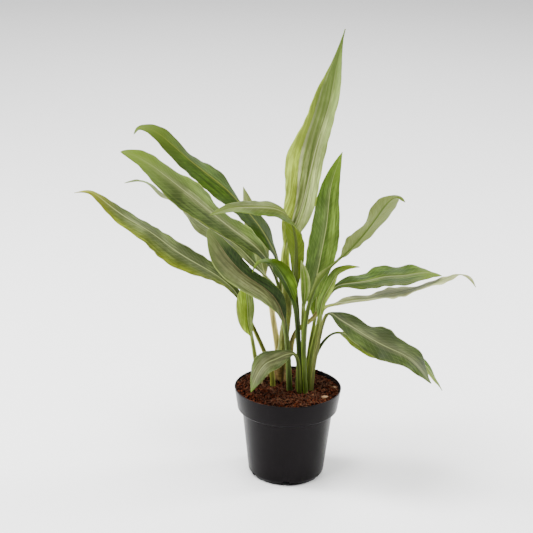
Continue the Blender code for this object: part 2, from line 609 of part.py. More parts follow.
def add_leaf(leaf, collection, material):
    """Join both skins round the margins into one closed loft, with the same triangles on each."""
    upper, lower = leaf_surfaces(leaf)
    rows = len(upper)
    ring = 2 * ACROSS
    points = np.concatenate([upper, lower[:, ::-1]], axis=1).reshape(-1, 3)
    faces = []
    for row in range(rows - 1):
        for j in range(ring):
            a = row * ring + j
            b = row * ring + (j + 1) % ring
            c = a + ring
            d = b + ring
            on_lower = ACROSS <= j < ring - 1
            faces += [(a, b, d), (a, d, c)] if on_lower else [(a, b, c), (b, d, c)]
    tip = (rows - 1) * ring
    for j in range(ACROSS - 1):
        k = ring - 1 - j
        faces += [(j, k, j + 1), (j + 1, k, k - 1)]
        faces += [(tip + j, tip + j + 1, tip + k), (tip + j + 1, tip + k - 1, tip + k)]
    mesh = bpy.data.meshes.new(leaf.name)
    mesh.from_pydata(points.tolist(), [], faces)
    mesh.shade_smooth()
    add_object(leaf.name, mesh, collection, material)


def main():
    for obj in list(bpy.data.objects):
        bpy.data.objects.remove(obj, do_unlink=True)
    plant = new_collection("potted chinese evergreen")
    cutters = new_collection("cutters")

    make_pot(plant, cutters)
    holes = [stem_foot("cane_main", CANE_AXIS), stem_foot("stem_right", STEM_AXIS)]
    holes += [leaf_foot(leaf) for leaf in LEAVES if leaf.planted]
    make_soil(plant, cutters, holes)
    add_stem("cane_main", CANE_AXIS, CANE_PIECES, plant, new_material("cane", *CANE_LOOK))
    add_stem("stem_right", STEM_AXIS, STEM_PIECES, plant, new_material("stem", *STEM_LOOK))
    looks = {look: new_material("leaf " + look, colour, LEAF_ROUGHNESS)
             for look, colour in LEAF_COLOURS.items()}
    for leaf in LEAVES:
        add_leaf(leaf, plant, looks[leaf.look])


main()
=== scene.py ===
# %% [markdown]
# # A potted chinese evergreen
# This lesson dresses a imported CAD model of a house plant: about twenty silver-marked leaves on
# two stems in a black nursery pot. The CAD solids give every size and place. Here each leaf gets
# a finer surface of the same form, with veins and markings, and the pot and the potting mix get
# the small shapes that make them look real.
#
# The frame comes first, because every new piece sits where its solid sits.

# %% Load the frame
import math
from dataclasses import dataclass

import bpy
import numpy as np
from mathutils import Matrix


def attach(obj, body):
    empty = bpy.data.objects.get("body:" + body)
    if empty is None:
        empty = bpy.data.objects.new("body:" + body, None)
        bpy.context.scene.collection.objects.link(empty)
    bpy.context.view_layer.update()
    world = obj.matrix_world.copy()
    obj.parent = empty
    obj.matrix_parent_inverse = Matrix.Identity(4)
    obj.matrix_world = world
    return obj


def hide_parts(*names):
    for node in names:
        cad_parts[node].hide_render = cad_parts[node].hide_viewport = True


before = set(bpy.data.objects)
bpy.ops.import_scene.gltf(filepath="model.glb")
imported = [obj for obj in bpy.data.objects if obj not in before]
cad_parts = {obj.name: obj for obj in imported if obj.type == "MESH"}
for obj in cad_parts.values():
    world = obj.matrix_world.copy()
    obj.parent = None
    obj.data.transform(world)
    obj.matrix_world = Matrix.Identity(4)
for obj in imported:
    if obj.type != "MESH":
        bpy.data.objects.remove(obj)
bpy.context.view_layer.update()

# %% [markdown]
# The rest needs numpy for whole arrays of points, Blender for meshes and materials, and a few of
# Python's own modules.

MM = 0.001

# %% [markdown]
# ## The camera
# A product photograph of a plant is taken from a little above the rim of the pot with a long
# lens, which keeps the leaves in proportion. The height and the distance come from the ellipse
# that the rim makes in the picture. The camera leans by about a degree, as hand-set ones do.

# %% Set the camera
CAMERA_PLACE = (-0.0268, -2.0221, 0.9707)
CAMERA_PITCH = math.radians(19.71)
CAMERA_LEAN = math.radians(1.2)
LENS = 132
SENSOR = 36

lens = bpy.data.cameras.new("camera")
lens.lens = LENS
lens.sensor_width = SENSOR
camera = bpy.data.objects.new("camera", lens)
bpy.context.scene.collection.objects.link(camera)
pitch = Matrix.Rotation(math.pi / 2 - CAMERA_PITCH, 4, "X")
lean = Matrix.Rotation(CAMERA_LEAN, 4, "Z")
camera.matrix_world = Matrix.Translation(CAMERA_PLACE) @ pitch @ lean
bpy.context.scene.camera = camera
print("camera", CAMERA_PLACE, "lens", LENS, "mm")

# %% [markdown]
# ## The floor and the light
# The photograph has a white ground and very soft light, with a bright stripe down each side of
# the black pot. Two tall soft boxes make those stripes, a large one overhead lights the tops of
# the leaves, and a white world fills the shadows. A plain area light is enough for each. The
# world is darker behind the camera, so that the front of the pot has nothing bright to mirror.

# %% Hang the lights
SOFT_BOXES = (
    # name, place and aim in metres, width and height, watts
    ("overhead box", (-0.4, -0.3, 2.1), (0, 0, 0.2), (1.2, 1.2), 95),
    ("left box", (-1.5, 0.2, 0.8), (0, 0, 0.1), (0.5, 1.5), 50),
    ("right box", (1.5, 0.5, 0.7), (0, 0, 0.1), (0.4, 1.3), 40),
    ("back box", (0.1, 1.9, 1.5), (0, 0, 0.3), (1.6, 1.0), 26),
)


def add_light(name, place, aim, size, power):
    """A rectangular soft box at a place, turned so that its face looks at the aim."""
    data = bpy.data.lights.new(name, "AREA")
    data.shape = "RECTANGLE"
    data.size, data.size_y = size
    data.energy = power
    light = bpy.data.objects.new(name, data)
    bpy.context.scene.collection.objects.link(light)
    away = np.array(place, float) - np.array(aim, float)
    back = away / np.linalg.norm(away)
    across = np.cross((0, 0, 1), back)
    across = across / np.linalg.norm(across)
    up = np.cross(back, across)
    turn = Matrix([[*row, 0] for row in np.stack([across, up, back], axis=1)] + [[0, 0, 0, 1]])
    light.matrix_world = Matrix.Translation(place) @ turn


for box in SOFT_BOXES:
    add_light(*box)
print(len(SOFT_BOXES), "soft boxes")

# %% [markdown]
# The world is a white room whose strength depends on the direction: a range node turns the way
# from front to back into a brightness.

# %% Build the white room
ROOM_LIGHT = (0.15, 0.9)    # behind the camera, and from the sides round to the back
ROOM_FADE = (-1.0, 0.3)     # it fades between these shares of the way from front to back

world = bpy.data.worlds.new("white room")
world.use_nodes = True
room = world.node_tree
towards = room.nodes.new("ShaderNodeSeparateXYZ")
room.links.new(room.nodes.new("ShaderNodeTexCoord").outputs["Generated"], towards.inputs[0])
fade = room.nodes.new("ShaderNodeMapRange")
for index, value in enumerate((*ROOM_FADE, *ROOM_LIGHT), start=1):
    fade.inputs[index].default_value = value
room.links.new(towards.outputs["Y"], fade.inputs[0])
room.links.new(fade.outputs[0], room.nodes["Background"].inputs["Strength"])
room.nodes["Background"].inputs["Color"].default_value = (1, 1, 1, 1)
bpy.context.scene.world = world
print("room light", ROOM_LIGHT)

# %% [markdown]
# The floor is one large square. It is part of the set and not of the plant.

# %% Lay the floor
FLOOR_SIZE = 30.0

corners = np.array([(-1, -1, 0), (1, -1, 0), (1, 1, 0), (-1, 1, 0)]) * FLOOR_SIZE / 2
floor_mesh = bpy.data.meshes.new("floor")
floor_mesh.from_pydata(corners.tolist(), [], [(0, 1, 2, 3)])
floor = bpy.data.objects.new("floor", floor_mesh)
bpy.context.scene.collection.objects.link(floor)
print("floor", FLOOR_SIZE, "m")

# %% [markdown]
# ## Short calls for shader nodes
# A procedural material is a sum of small sums: noise, stripes and masks, mixed one over the
# other. Blender makes each as a node with sockets. The helper below adds a node and hands back
# its output, so that a finish can be written down as a formula.

# %% Helper for materials
class Finish:
    """A material whose colour, roughness and bump are written as formulas of sockets."""

    def __init__(self, name, roughness, specular):
        """Start with one even roughness and shine, which a formula may take over."""
        self.material = bpy.data.materials.new(name)
        self.material.use_nodes = True
        self.tree = self.material.node_tree
        self.shader = self.tree.nodes["Principled BSDF"]
        self.shader.inputs["Roughness"].default_value = roughness
        self.shader.inputs["Specular IOR Level"].default_value = specular
        self.object_space = self.tree.nodes.new("ShaderNodeTexCoord").outputs["Object"]

    def join(self, node, index, value):
        """Set one input of a node: a socket is linked, anything else is its value."""
        if isinstance(value, bpy.types.NodeSocket):
            self.tree.links.new(value, node.inputs[index])
        elif value is not None:
            node.inputs[index].default_value = value

    def sum(self, operation, a, b=None, c=None):
        """One arithmetic step on numbers."""
        node = self.tree.nodes.new("ShaderNodeMath")
        node.operation = operation
        for index, value in enumerate((a, b, c)):
            self.join(node, index, value)
        return node.outputs[0]

    def times(self, a, b):
        """One number multiplied by another."""
        return self.sum("MULTIPLY", a, b)

    def plus(self, a, b):
        """One number added to another."""
        return self.sum("ADD", a, b)

    def step(self, value, low, high):
        """0 below low, 1 above high and a smooth slope between. High may be the smaller one."""
        node = self.tree.nodes.new("ShaderNodeMapRange")
        node.interpolation_type = "SMOOTHSTEP"
        for index, item in enumerate((value, low, high)):
            self.join(node, index, item)
        return node.outputs[0]

    def spread(self, value, low, high):
        """Carry a share from 0 to 1 over to the range from low to high."""
        return self.sum("MULTIPLY_ADD", value, high - low, low)

    def noise(self, scale, detail=3.0, place=None, rough=0.5, warp=0.0):
        """Cloudy noise from 0 to 1, with its number of clouds in a metre."""
        node = self.tree.nodes.new("ShaderNodeTexNoise")
        self.join(node, "Vector", place or self.object_space)
        self.join(node, "Scale", scale)
        self.join(node, "Detail", detail)
        self.join(node, "Roughness", rough)
        self.join(node, "Distortion", warp)
        return node.outputs["Fac"]

    def cells(self, scale):
        """Distance from the nearest of many scattered points, as crumbs and grains have."""
        node = self.tree.nodes.new("ShaderNodeTexVoronoi")
        self.join(node, "Vector", self.object_space)
        self.join(node, "Scale", scale)
        return node.outputs["Distance"]

    def stretch(self, *factors):
        """The place on the object times a factor on each axis, for long thin patterns."""
        node = self.tree.nodes.new("ShaderNodeMapping")
        self.join(node, "Vector", self.object_space)
        self.join(node, "Scale", factors)
        return node.outputs["Vector"]

    def parts(self, vector):
        """The three numbers of a vector."""
        node = self.tree.nodes.new("ShaderNodeSeparateXYZ")
        self.join(node, 0, vector)
        return node.outputs

    def mix(self, share, a, b):
        """Colour a where the share is 0 and colour b where it is 1."""
        node = self.tree.nodes.new("ShaderNodeMix")
        node.data_type = "RGBA"
        self.join(node, 0, share)
        self.join(node, 6, (*a, 1.0) if isinstance(a, tuple) else a)
        self.join(node, 7, (*b, 1.0) if isinstance(b, tuple) else b)
        return node.outputs[2]

    def coat(self, under, over, mask, share):
        """Lay one colour over another where a mask is 1, as thickly as the share says."""
        return self.mix(self.times(mask, share), under, over)

    def place(self, x, y, z):
        """A vector from three numbers, to lay a pattern along a leaf."""
        node = self.tree.nodes.new("ShaderNodeCombineXYZ")
        for index, value in enumerate((x, y, z)):
            self.join(node, index, value)
        return node.outputs[0]

    def ramp(self, value, stops):
        """Colours strung along a value from 0 to 1, each at its own place."""
        node = self.tree.nodes.new("ShaderNodeValToRGB")
        self.join(node, 0, value)
        line = node.color_ramp.elements
        while len(line) < len(stops):
            line.new(0.5)
        for element, (place, colour) in zip(line, stops):
            element.position = place
            element.color = (*colour, 1.0)
        return node.outputs["Color"]

    def scaled(self, colour, factor):
        """A colour multiplied by a factor."""
        node = self.tree.nodes.new("ShaderNodeVectorMath")
        node.operation = "SCALE"
        self.join(node, 0, colour)
        node.inputs["Scale"].default_value = factor
        return node.outputs[0]

    def read(self, name):
        """The vector that the piece's mesh carries under a name."""
        node = self.tree.nodes.new("ShaderNodeAttribute")
        node.attribute_name = name
        return node.outputs["Vector"]

    def paint(self, colour, roughness=None, height=None, depth=0.0002):
        """Lead the formulas into the shader. Height is a share of the bump's depth in metres."""
        self.join(self.shader, "Base Color", colour)
        if roughness is not None:
            self.join(self.shader, "Roughness", roughness)
        if height is not None:
            bump = self.tree.nodes.new("ShaderNodeBump")
            bump.inputs["Distance"].default_value = depth
            self.join(bump, "Height", height)
            self.join(self.shader, "Normal", bump.outputs[0])
        return self.material


floor_finish = Finish("floor", roughness=0.6, specular=0.2)
floor.data.materials.append(floor_finish.paint(
    floor_finish.mix(floor_finish.noise(3.0), (0.93, 0.93, 0.93), (0.95, 0.95, 0.95))))
print("floor finished")

# %% [markdown]
# ## Meshes from arrays
# A leaf or a stem is a grid of points: rows along it, columns round it. Worked out with numpy,
# all points of a piece come from one formula, and the faces are the same pattern of four corners
# for each cell of the grid.

# %% Helper for meshes
def add_piece(name, points, faces, finish, smooth=True):
    """A mesh object with its finish, riding on the plant's one body."""
    mesh = bpy.data.meshes.new(name)
    mesh.from_pydata(points.tolist(), [], faces.tolist() if isinstance(faces, np.ndarray) else faces)
    mesh.polygons.foreach_set("use_smooth", [smooth] * len(mesh.polygons))
    mesh.materials.append(finish)
    piece = bpy.data.objects.new(name, mesh)
    bpy.context.scene.collection.objects.link(piece)
    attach(piece, "root")
    return piece


def ring_faces(rows, ring):
    """Four-cornered faces between closed rings: corner numbers for every cell at once."""
    row, column = np.meshgrid(np.arange(rows - 1), np.arange(ring), indexing="ij")
    a = row * ring + column
    b = row * ring + (column + 1) % ring
    return np.stack([a, b, b + ring, a + ring], axis=-1).reshape(-1, 4)


def close_tube(rows, ring):
    """Ring faces plus one face over each end."""
    faces = ring_faces(rows, ring).tolist()
    faces.append(tuple(range(ring - 1, -1, -1)))
    faces.append(tuple(range((rows - 1) * ring, rows * ring)))
    return faces


def repeat_faces(faces, step, count):
    """The faces of many copies of a shape: each copy's corner numbers are a step further on."""
    shifts = step * np.arange(count)[:, None]
    return [corners for face in faces for corners in (np.array(face) + shifts).tolist()]


def carry(mesh, name, values):
    """Give each vertex a vector under a name, for materials to read."""
    store = mesh.attributes.new(name, "FLOAT_VECTOR", "POINT")
    store.data.foreach_set("vector", np.asarray(values, np.float32).ravel())


def unit(vectors):
    """Vectors of length one with the same directions."""
    return vectors / np.maximum(np.linalg.norm(vectors, axis=-1, keepdims=True), 1e-12)


def smooth_step(x):
    """0 up to 0, 1 from 1, and between them three squares less two cubes."""
    x = np.clip(x, 0, 1)
    return x * x * (3 - 2 * x)

# %% [markdown]
# ## Curves
# The midrib of a leaf and the middle of a stem are drawn as a few points in whole
# millimetres. A natural cubic spline leads a smooth line through them, as a bent strip of wood
# would run, and the line is then measured so that rows can be laid at even lengths.

# %% Smooth lines through a few points
CURVE_SAMPLES = 600


def smooth_curve(points):
    """Many close points on a natural cubic spline, the length up to each, and to each knot.

    The bend at each knot solves the spline's equations: neighbours' bends, weighted by the
    spans between them, make up six times the change of slope there. The ends don't bend.
    """
    points = np.asarray(points, float)
    knots = np.concatenate([[0.0], np.cumsum(np.linalg.norm(np.diff(points, axis=0), axis=1))])
    knots = knots / knots[-1]
    spans = np.diff(knots)
    slopes = np.diff(points, axis=0) / spans[:, None]
    last = len(points) - 1
    system = np.eye(last + 1)
    target = np.zeros_like(points)
    for i in range(1, last):
        system[i, i - 1:i + 2] = spans[i - 1], 2 * (spans[i - 1] + spans[i]), spans[i]
        target[i] = 6 * (slopes[i] - slopes[i - 1])
    bend = np.linalg.solve(system, target)
    where = np.linspace(0, 1, CURVE_SAMPLES)
    j = np.clip(np.searchsorted(knots, where, side="right") - 1, 0, last - 1)
    d = (where - knots[j])[:, None]
    span = spans[j][:, None]
    curve = (points[j] + d * (slopes[j] - span * (2 * bend[j] + bend[j + 1]) / 6)
             + d ** 2 * bend[j] / 2 + d ** 3 * (bend[j + 1] - bend[j]) / (6 * span))
    lengths = np.concatenate([[0.0], np.cumsum(np.linalg.norm(np.diff(curve, axis=0), axis=1))])
    return curve, lengths, np.interp(knots, where, lengths)


def read_curve(curve, lengths, where):
    """The points of a curve at given lengths along it."""
    return np.stack([np.interp(where, lengths, curve[:, axis]) for axis in range(3)], axis=1)


line, line_lengths, _ = smooth_curve([(0, 0, 0), (0, 0, 1), (1, 0, 2)])
print("a test line is", round(float(line_lengths[-1]), 3), "long")

# %% [markdown]
# ## The leaves as drawn
# These are the same leaves as in the solids: for each, the midrib's points in millimetres from
# the foot of the stalk to the tip, the half widths, where the upper side faces, how far the two
# halves fold up, and the waves of each margin.

# %% Twenty leaves
@dataclass
class Leaf:
    """One leaf, its stalk and blade grown in one piece. Lengths are in millimetres."""

    name: str
    path: tuple             # the midrib's points, from the foot of the stalk to the tip
    base: int               # the point of the path where the blade begins
    half_width: tuple       # from the midrib to the left and the right margin, at the widest
    widest: float           # where that is, as a share of the blade's length
    fullness: float         # power of the outline: a small one is blunt, a large one pointed
    faces: tuple            # where the upper side looks, in even steps along the blade
    fold: tuple             # degrees that each half is raised, in even steps along the blade
    left: tuple             # waves of the left margin: height, count along the blade, start
    right: tuple            # the same for the right margin
    stalk: tuple            # radius at the foot and at the blade
    planted: bool = True    # stands in a hole in the potting mix, not on a stem


LEAVES = (
    # The long wavy leaf that reaches furthest to the left
    Leaf("leaf_big_left",
         ((-17, 4, 99), (-19, 8, 120), (-26, 11, 138), (-38, 14, 164), (-49, 16, 187), (-61, 16, 210),
          (-79, 13, 228), (-100, 8, 243), (-126, 0, 262), (-154, -10, 287), (-180, -18, 306),
          (-203, -24, 326), (-219, -28, 337), (-234, -30, 336)),
         base=4, half_width=(21, 18), widest=0.48, fullness=1.25,
         faces=((0.2, -0.5, 0.8), (0.1, -0.45, 0.9), (0.0, -0.4, 0.9), (0, -0.6, 0.8)),
         fold=(25, 0, -15, 0), left=(5.0, 2.3, 0.7), right=(0.5, 3.0, 0.2), stalk=(2.4, 1.9)),
    # The highest of the left-hand leaves, dark, with a hooked tip
    Leaf("leaf_upper_left",
         ((-9, 28, 192), (-10, 29, 214), (-14, 32, 240), (-26, 36, 266), (-42, 40, 288), (-58, 44, 305),
          (-75, 48, 321), (-93, 52, 334), (-116, 56, 351), (-139, 60, 370), (-159, 64, 382),
          (-172, 66, 382), (-177, 66, 375)),
         base=2, half_width=(17, 19), widest=0.5, fullness=0.75,
         faces=((0.6, -0.5, 0.5), (0.4, -0.35, 0.8), (0.1, -0.35, 0.9), (0, -0.4, 0.9)),
         fold=(0, -20, -15, 0), left=(2.5, 3.0, 0.3), right=(3.0, 3.0, 0.68), stalk=(2.2, 1.8),
         planted=False),
    # The middle one, with a silver band along its midrib
    Leaf("leaf_mid_left",
         ((-9.5, 16.5, 198), (-15, 12, 226), (-28, 8, 254), (-45, 6, 272), (-65, 3, 288), (-89, -2, 309),
          (-115, -7, 332), (-143, -12, 356), (-167, -16, 373), (-185, -20, 380)),
         base=1, half_width=(22, 22), widest=0.6, fullness=0.65,
         faces=((0.3, -0.4, 0.8), (0.2, -0.4, 0.9), (0.0, -0.5, 0.9), (0, -0.4, 0.9)),
         fold=(10, 0, -10, 0), left=(1.5, 2.5, 0.05), right=(2.5, 3.1, 0.42), stalk=(2.2, 1.8),
         planted=False),
    # The one behind it, seen edge on
    Leaf("leaf_thin_left",
         ((-5, 30, 179), (-12, 36, 203), (-23, 39, 216), (-37, 43, 231), (-50, 49, 243), (-64, 59, 252),
          (-86, 76, 259), (-108, 86, 270), (-129, 94, 285), (-150, 102, 298), (-169, 108, 307),
          (-191, 112, 304)),
         base=2, half_width=(17, 14), widest=0.5, fullness=0.9,
         faces=((0, -0.1, 1), (0, -0.4, 0.9), (0, -0.1, 1), (0, 0.3, 0.9), (0, 0.3, 0.9)),
         fold=(10, 10, 0, 0), left=(4.5, 3.0, 0.4), right=(3.0, 3.0, 0.5), stalk=(2.0, 1.6),
         planted=False),
    # Rises in the middle with its underside to the front, then bends over to the left
    Leaf("leaf_bent_front",
         ((11, -1, 99), (11, 1, 136), (10, 3, 171), (8, 4, 200), (6, 4, 220), (6, 1, 245), (6, -3, 270),
          (3, -8, 292), (-4, -14, 309), (-18, -22, 320), (-39, -34, 325), (-62, -46, 328),
          (-88, -58, 323)),
         base=4, half_width=(14, 16), widest=0.56, fullness=0.8,
         faces=((0.3, 0.9, 0.1), (0.4, 0.9, 0.2), (0.3, -0.1, 0.9), (0, -0.5, 0.9), (0, -0.4, 0.9)),
         fold=(10, 0, 0, 10), left=(4.0, 1.0, 0.25), right=(3.0, 1.0, 0.0), stalk=(2.2, 1.8)),
    # The tallest leaf, the youngest of the cane, on whose top it stands
    Leaf("leaf_tallest",
         ((-4, 20, 228), (-6, 20, 245), (-5, 20, 264), (2, 20, 285), (9, 21, 304), (15, 24, 328),
          (21, 29, 357), (29, 34, 390), (38, 40, 422), (44, 46, 458), (53, 52, 502)),
         base=2, half_width=(27, 20), widest=0.38, fullness=1.2,
         faces=((-0.2, -1, 0.1), (-0.5, -0.9, 0.1), (-0.5, -0.9, 0.1), (0.0, -0.9, 0.2)),
         fold=(25, 28, 28, 20), left=(2.5, 3.1, 0.03), right=(4.0, 1.7, 0.0), stalk=(4.5, 3.6),
         planted=False),
    # The upright one to the right of it
    Leaf("leaf_right_upright",
         ((18, 10, 99), (17, 8, 145), (18, 8, 175), (22, 9, 201), (28, 13, 227), (34, 18, 261),
          (39, 24, 294), (42, 32, 328), (54, 44, 366)),
         base=3, half_width=(21, 16), widest=0.4, fullness=0.85,
         faces=((0.4, -1, 0.2), (0.4, -1, 0.2), (0.1, -1, 0.2)),
         fold=(15, 15, 15), left=(1.2, 2.0, 0.0), right=(1.2, 2.0, 0.5), stalk=(2.4, 2.0)),
    # A narrow dark leaf that arches over to the left in front of the stems
    Leaf("leaf_small_arch",
         ((16, -7, 99), (13, -6, 133), (10, -4, 162), (8, -4, 185), (4, -5, 208), (-5, -8, 232),
          (-15, -12, 249), (-27, -20, 260), (-37, -26, 259), (-42, -30, 250)),
         base=4, half_width=(7, 11), widest=0.4, fullness=0.9,
         faces=((0.3, -0.6, 0.6), (0.2, -0.6, 0.8), (-0.4, -0.5, 0.8), (-0.7, -0.5, 0.3)),
         fold=(10, 0, 0), left=(0.6, 1.0, 0.0), right=(2.5, 1.0, 0.0), stalk=(2.5, 2.2)),
    # The broad blunt leaf in front: one half silver, the other green and painted dark for the shade it is
    # folded into
    Leaf("leaf_front_ovate",
         ((2, -7, 99), (0, -4, 130), (-2, -1, 157), (-6, 0, 182), (-13, -3, 204), (-26, -9, 222),
          (-44, -18, 238), (-57, -26, 252), (-70, -33, 270), (-80, -38, 287), (-90, -40, 302)),
         base=3, half_width=(22, 12), widest=0.55, fullness=0.6,
         faces=((0.3, -0.7, 0.4), (0.3, -0.8, 0.5), (0.2, -0.8, 0.5), (-0.2, -0.9, 0.4)),
         fold=(30, 25, 15, 20), left=(4.0, 1.8, 0.8), right=(2.5, 1.5, 0.0), stalk=(2.7, 2.4)),
    # A young leaf still folded along its midrib
    Leaf("leaf_young_left",
         ((-33, 17, 98), (-36, 12, 124), (-40, 6, 151), (-42, 3, 163), (-45, 0, 176), (-47, -4, 201),
          (-50, -8, 228)),
         base=3, half_width=(17, 9), widest=0.6, fullness=0.6,
         faces=((0.2, -1, 0.1), (0.1, -1, 0.1), (0.1, -1, 0.1)),
         fold=(30, 40, 30), left=(0.5, 1.0, 0.0), right=(0.5, 1.0, 0.5), stalk=(2.3, 1.8)),
    # Reaches up to the right and shows its pale underside
    Leaf("leaf_right_up",
         ((20, -12, 99), (17, -11, 141), (16, -10, 170), (19, -8, 197), (25, -8, 222), (37, -9, 245),
          (53, -12, 263), (69, -16, 281), (81, -20, 298), (92, -24, 316), (103, -28, 333),
          (112, -31, 339), (120, -32, 334)),
         base=4, half_width=(22, 17), widest=0.7, fullness=0.8,
         faces=((-0.5, 0.6, 0.6), (-0.5, 0.6, 0.6), (-0.4, 0.6, 0.7), (0.0, 0.5, 0.9)),
         fold=(10, 5, 5, 0), left=(1.0, 1.5, 0.0), right=(3.5, 2.6, 0.0), stalk=(2.4, 2.1)),
    # A small rolled leaf right of the stems, its tip held level like a flag
    Leaf("leaf_young_right",
         ((23, -1, 99), (24, -2, 137), (29, -4, 168), (33, -6, 192), (37, -8, 214), (45, -9, 231),
          (53, -10, 245), (61, -12, 250), (75, -14, 253)),
         base=3, half_width=(9, 5), widest=0.38, fullness=0.8,
         faces=((0.2, -0.9, 0.2), (0.3, -0.8, 0.3), (-0.2, -0.6, 0.7), (0, -0.6, 0.8)),
         fold=(30, 30, 20), left=(0.3, 1.0, 0.0), right=(0.3, 1.0, 0.5), stalk=(2.2, 1.8)),
    # The upper of the two level leaves to the right
    Leaf("leaf_right_level",
         ((2.5, 22, 137), (5, 22, 154), (11, 22, 165), (21, 22, 173), (32, 22, 186), (40, 22, 200),
          (50, 23, 215), (67, 27, 219), (86, 33, 220), (106, 39, 223), (129, 45, 223), (152, 50, 225),
          (172, 60, 218)),
         base=5, half_width=(20, 20), widest=0.6, fullness=0.9,
         faces=((-0.2, -0.3, 0.9), (0, -0.25, 0.95), (0, -0.3, 0.95), (0, -0.1, 1)),
         fold=(20, 0, 0, 0), left=(1.5, 4.0, 0.19), right=(3.0, 1.25, 0.5), stalk=(2.7, 2.1),
         planted=False),
    # The lower of them, which reaches furthest to the right, seen edge on
    Leaf("leaf_right_edge",
         ((24, 5, 99), (25, 5, 132), (30, 4, 161), (34, 4, 183), (39, 5, 198), (49, 9, 200),
          (65, 15, 202), (86, 23, 202), (108, 30, 204), (130, 37, 207), (154, 44, 212), (177, 50, 218),
          (195, 55, 222), (211, 58, 206)),
         base=5, half_width=(17, 17), widest=0.45, fullness=0.9,
         faces=((0, 0.1, 1), (0, 0.1, 1), (0, 0.2, 0.95), (0.1, 0.3, 0.9)),
         fold=(15, 5, 0, 0), left=(1.5, 3.0, 0.0), right=(1.5, 3.0, 0.5), stalk=(2.4, 2.0)),
    # The broad leaf that hangs to the right
    Leaf("leaf_lower_right",
         ((26, -6, 99), (29, -7, 139), (33, -8, 164), (37, -10, 185), (43, -14, 198), (53, -22, 196),
          (66, -31, 191), (86, -44, 183), (109, -56, 175), (127, -64, 169), (141, -70, 158),
          (154, -74, 142)),
         base=4, half_width=(25, 20), widest=0.5, fullness=0.8,
         faces=((0.4, -0.5, 0.7), (0.3, -0.45, 0.8), (0.3, -0.5, 0.8), (0.5, -0.3, 0.8)),
         fold=(10, -5, -5, 0), left=(2.5, 3.0, 0.9), right=(2.5, 3.0, 0.15), stalk=(2.2, 1.8)),
    # The leaf under it, on a thin stalk
    Leaf("leaf_under_right",
         ((24, 14, 99), (24, 12, 112), (27, 10, 127), (32, 8, 143), (38, 5, 156), (47, 0, 168),
          (57, -8, 173), (73, -16, 168), (91, -26, 163), (113, -36, 161), (132, -44, 161),
          (147, -50, 155), (158, -54, 142), (168, -57, 127)),
         base=6, half_width=(14, 17), widest=0.36, fullness=0.9,
         faces=((0.3, -0.3, 0.9), (0.3, -0.3, 0.9), (0.3, -0.3, 0.9), (0.5, -0.2, 0.8)),
         fold=(10, 0, 0, 0), left=(1.0, 2.0, 0.0), right=(1.0, 2.0, 0.3), stalk=(1.9, 1.5)),
    # A small leaf that droops over the front of the rim
    Leaf("leaf_drooping",
         ((13, -13, 99), (12, -14, 124), (10, -15, 141), (6, -17, 150), (-4, -22, 151), (-15, -28, 148),
          (-25, -34, 145), (-34, -39, 134), (-41, -42, 114)),
         base=3, half_width=(13, 13), widest=0.5, fullness=0.9,
         faces=((-0.2, -0.8, 0.6), (-0.3, -0.8, 0.6), (-0.5, -0.7, 0.5), (-0.7, -0.7, 0.3)),
         fold=(10, 5, 0), left=(1.0, 1.5, 0.0), right=(1.0, 1.5, 0.5), stalk=(2.2, 1.7)),
    # A short striped leaf on top of the right-hand stem, not yet unrolled
    Leaf("leaf_striped",
         ((16, 2, 160), (15, 2, 181), (15, 0, 200), (16, -2, 218), (15, -4, 237), (11, -5, 256)),
         base=2, half_width=(7, 7), widest=0.5, fullness=0.9,
         faces=((0.2, -1, 0.1), (0.1, -1, 0.1), (0.1, -1, 0.1)),
         fold=(40, 40, 30), left=(0.3, 1.0, 0.0), right=(0.3, 1.0, 0.5), stalk=(2.2, 1.9),
         planted=False),
    # A short leaf at the back
    Leaf("leaf_back_short",
         ((21, 20, 99), (23, 26, 132), (26, 31, 154), (29, 34, 174), (30, 37, 192), (31, 41, 207),
          (29, 46, 229)),
         base=3, half_width=(8, 8), widest=0.4, fullness=0.9,
         faces=((0.1, -1, 0.2), (0.1, -1, 0.2), (0.1, -1, 0.2)),
         fold=(10, 10, 10), left=(0.3, 1.0, 0.0), right=(0.3, 1.0, 0.5), stalk=(2.0, 1.7)),
    # A leaf on a thick pale stalk behind the cane
    Leaf("leaf_back_left",
         ((-11, 42, 99), (-12, 42, 130), (-17, 43, 161), (-22, 48, 189), (-29, 58, 216), (-36, 70, 243),
          (-43, 79, 270), (-49, 84, 291), (-55, 88, 310)),
         base=4, half_width=(13, 13), widest=0.4, fullness=0.9,
         faces=((0.3, -0.9, 0.2), (0.3, -0.9, 0.2), (0.3, -0.9, 0.2)),
         fold=(10, 10, 10), left=(1.0, 1.5, 0.0), right=(1.0, 1.5, 0.5), stalk=(3.4, 2.2)),
)
print(len(LEAVES), "leaves drawn")

# %% [markdown]
# ## The surface of a leaf
# A leaf could be a flat card with a picture on it, but then its edge has no waves and its stalk
# no body. Here each leaf is one closed skin: rows of points lie across the midrib from margin to
# margin, once for the upper side and once for the lower side. At the foot the rows are round, as
# the stalk is, with two thin wings, and they open into the blade. It is the formula that shaped
# the solids, with finer rows, a channel along the stalk, a groove over the midrib, low puckers
# between the veins and a thin margin.

# %% Outline and puckers of a blade
PUCKER = 0.9 * MM           # height of the swellings between the veins
RIPPLE = 0.7 * MM           # and of the fine ripple along the margin


def blade_outline(t, widest, fullness):
    """Half width as a share of the widest: one arch of a sine, pushed so it peaks at `widest`."""
    bent = np.clip(t, 0, 1) ** (math.log(0.5) / math.log(widest))
    return np.sin(np.pi * bent) ** fullness


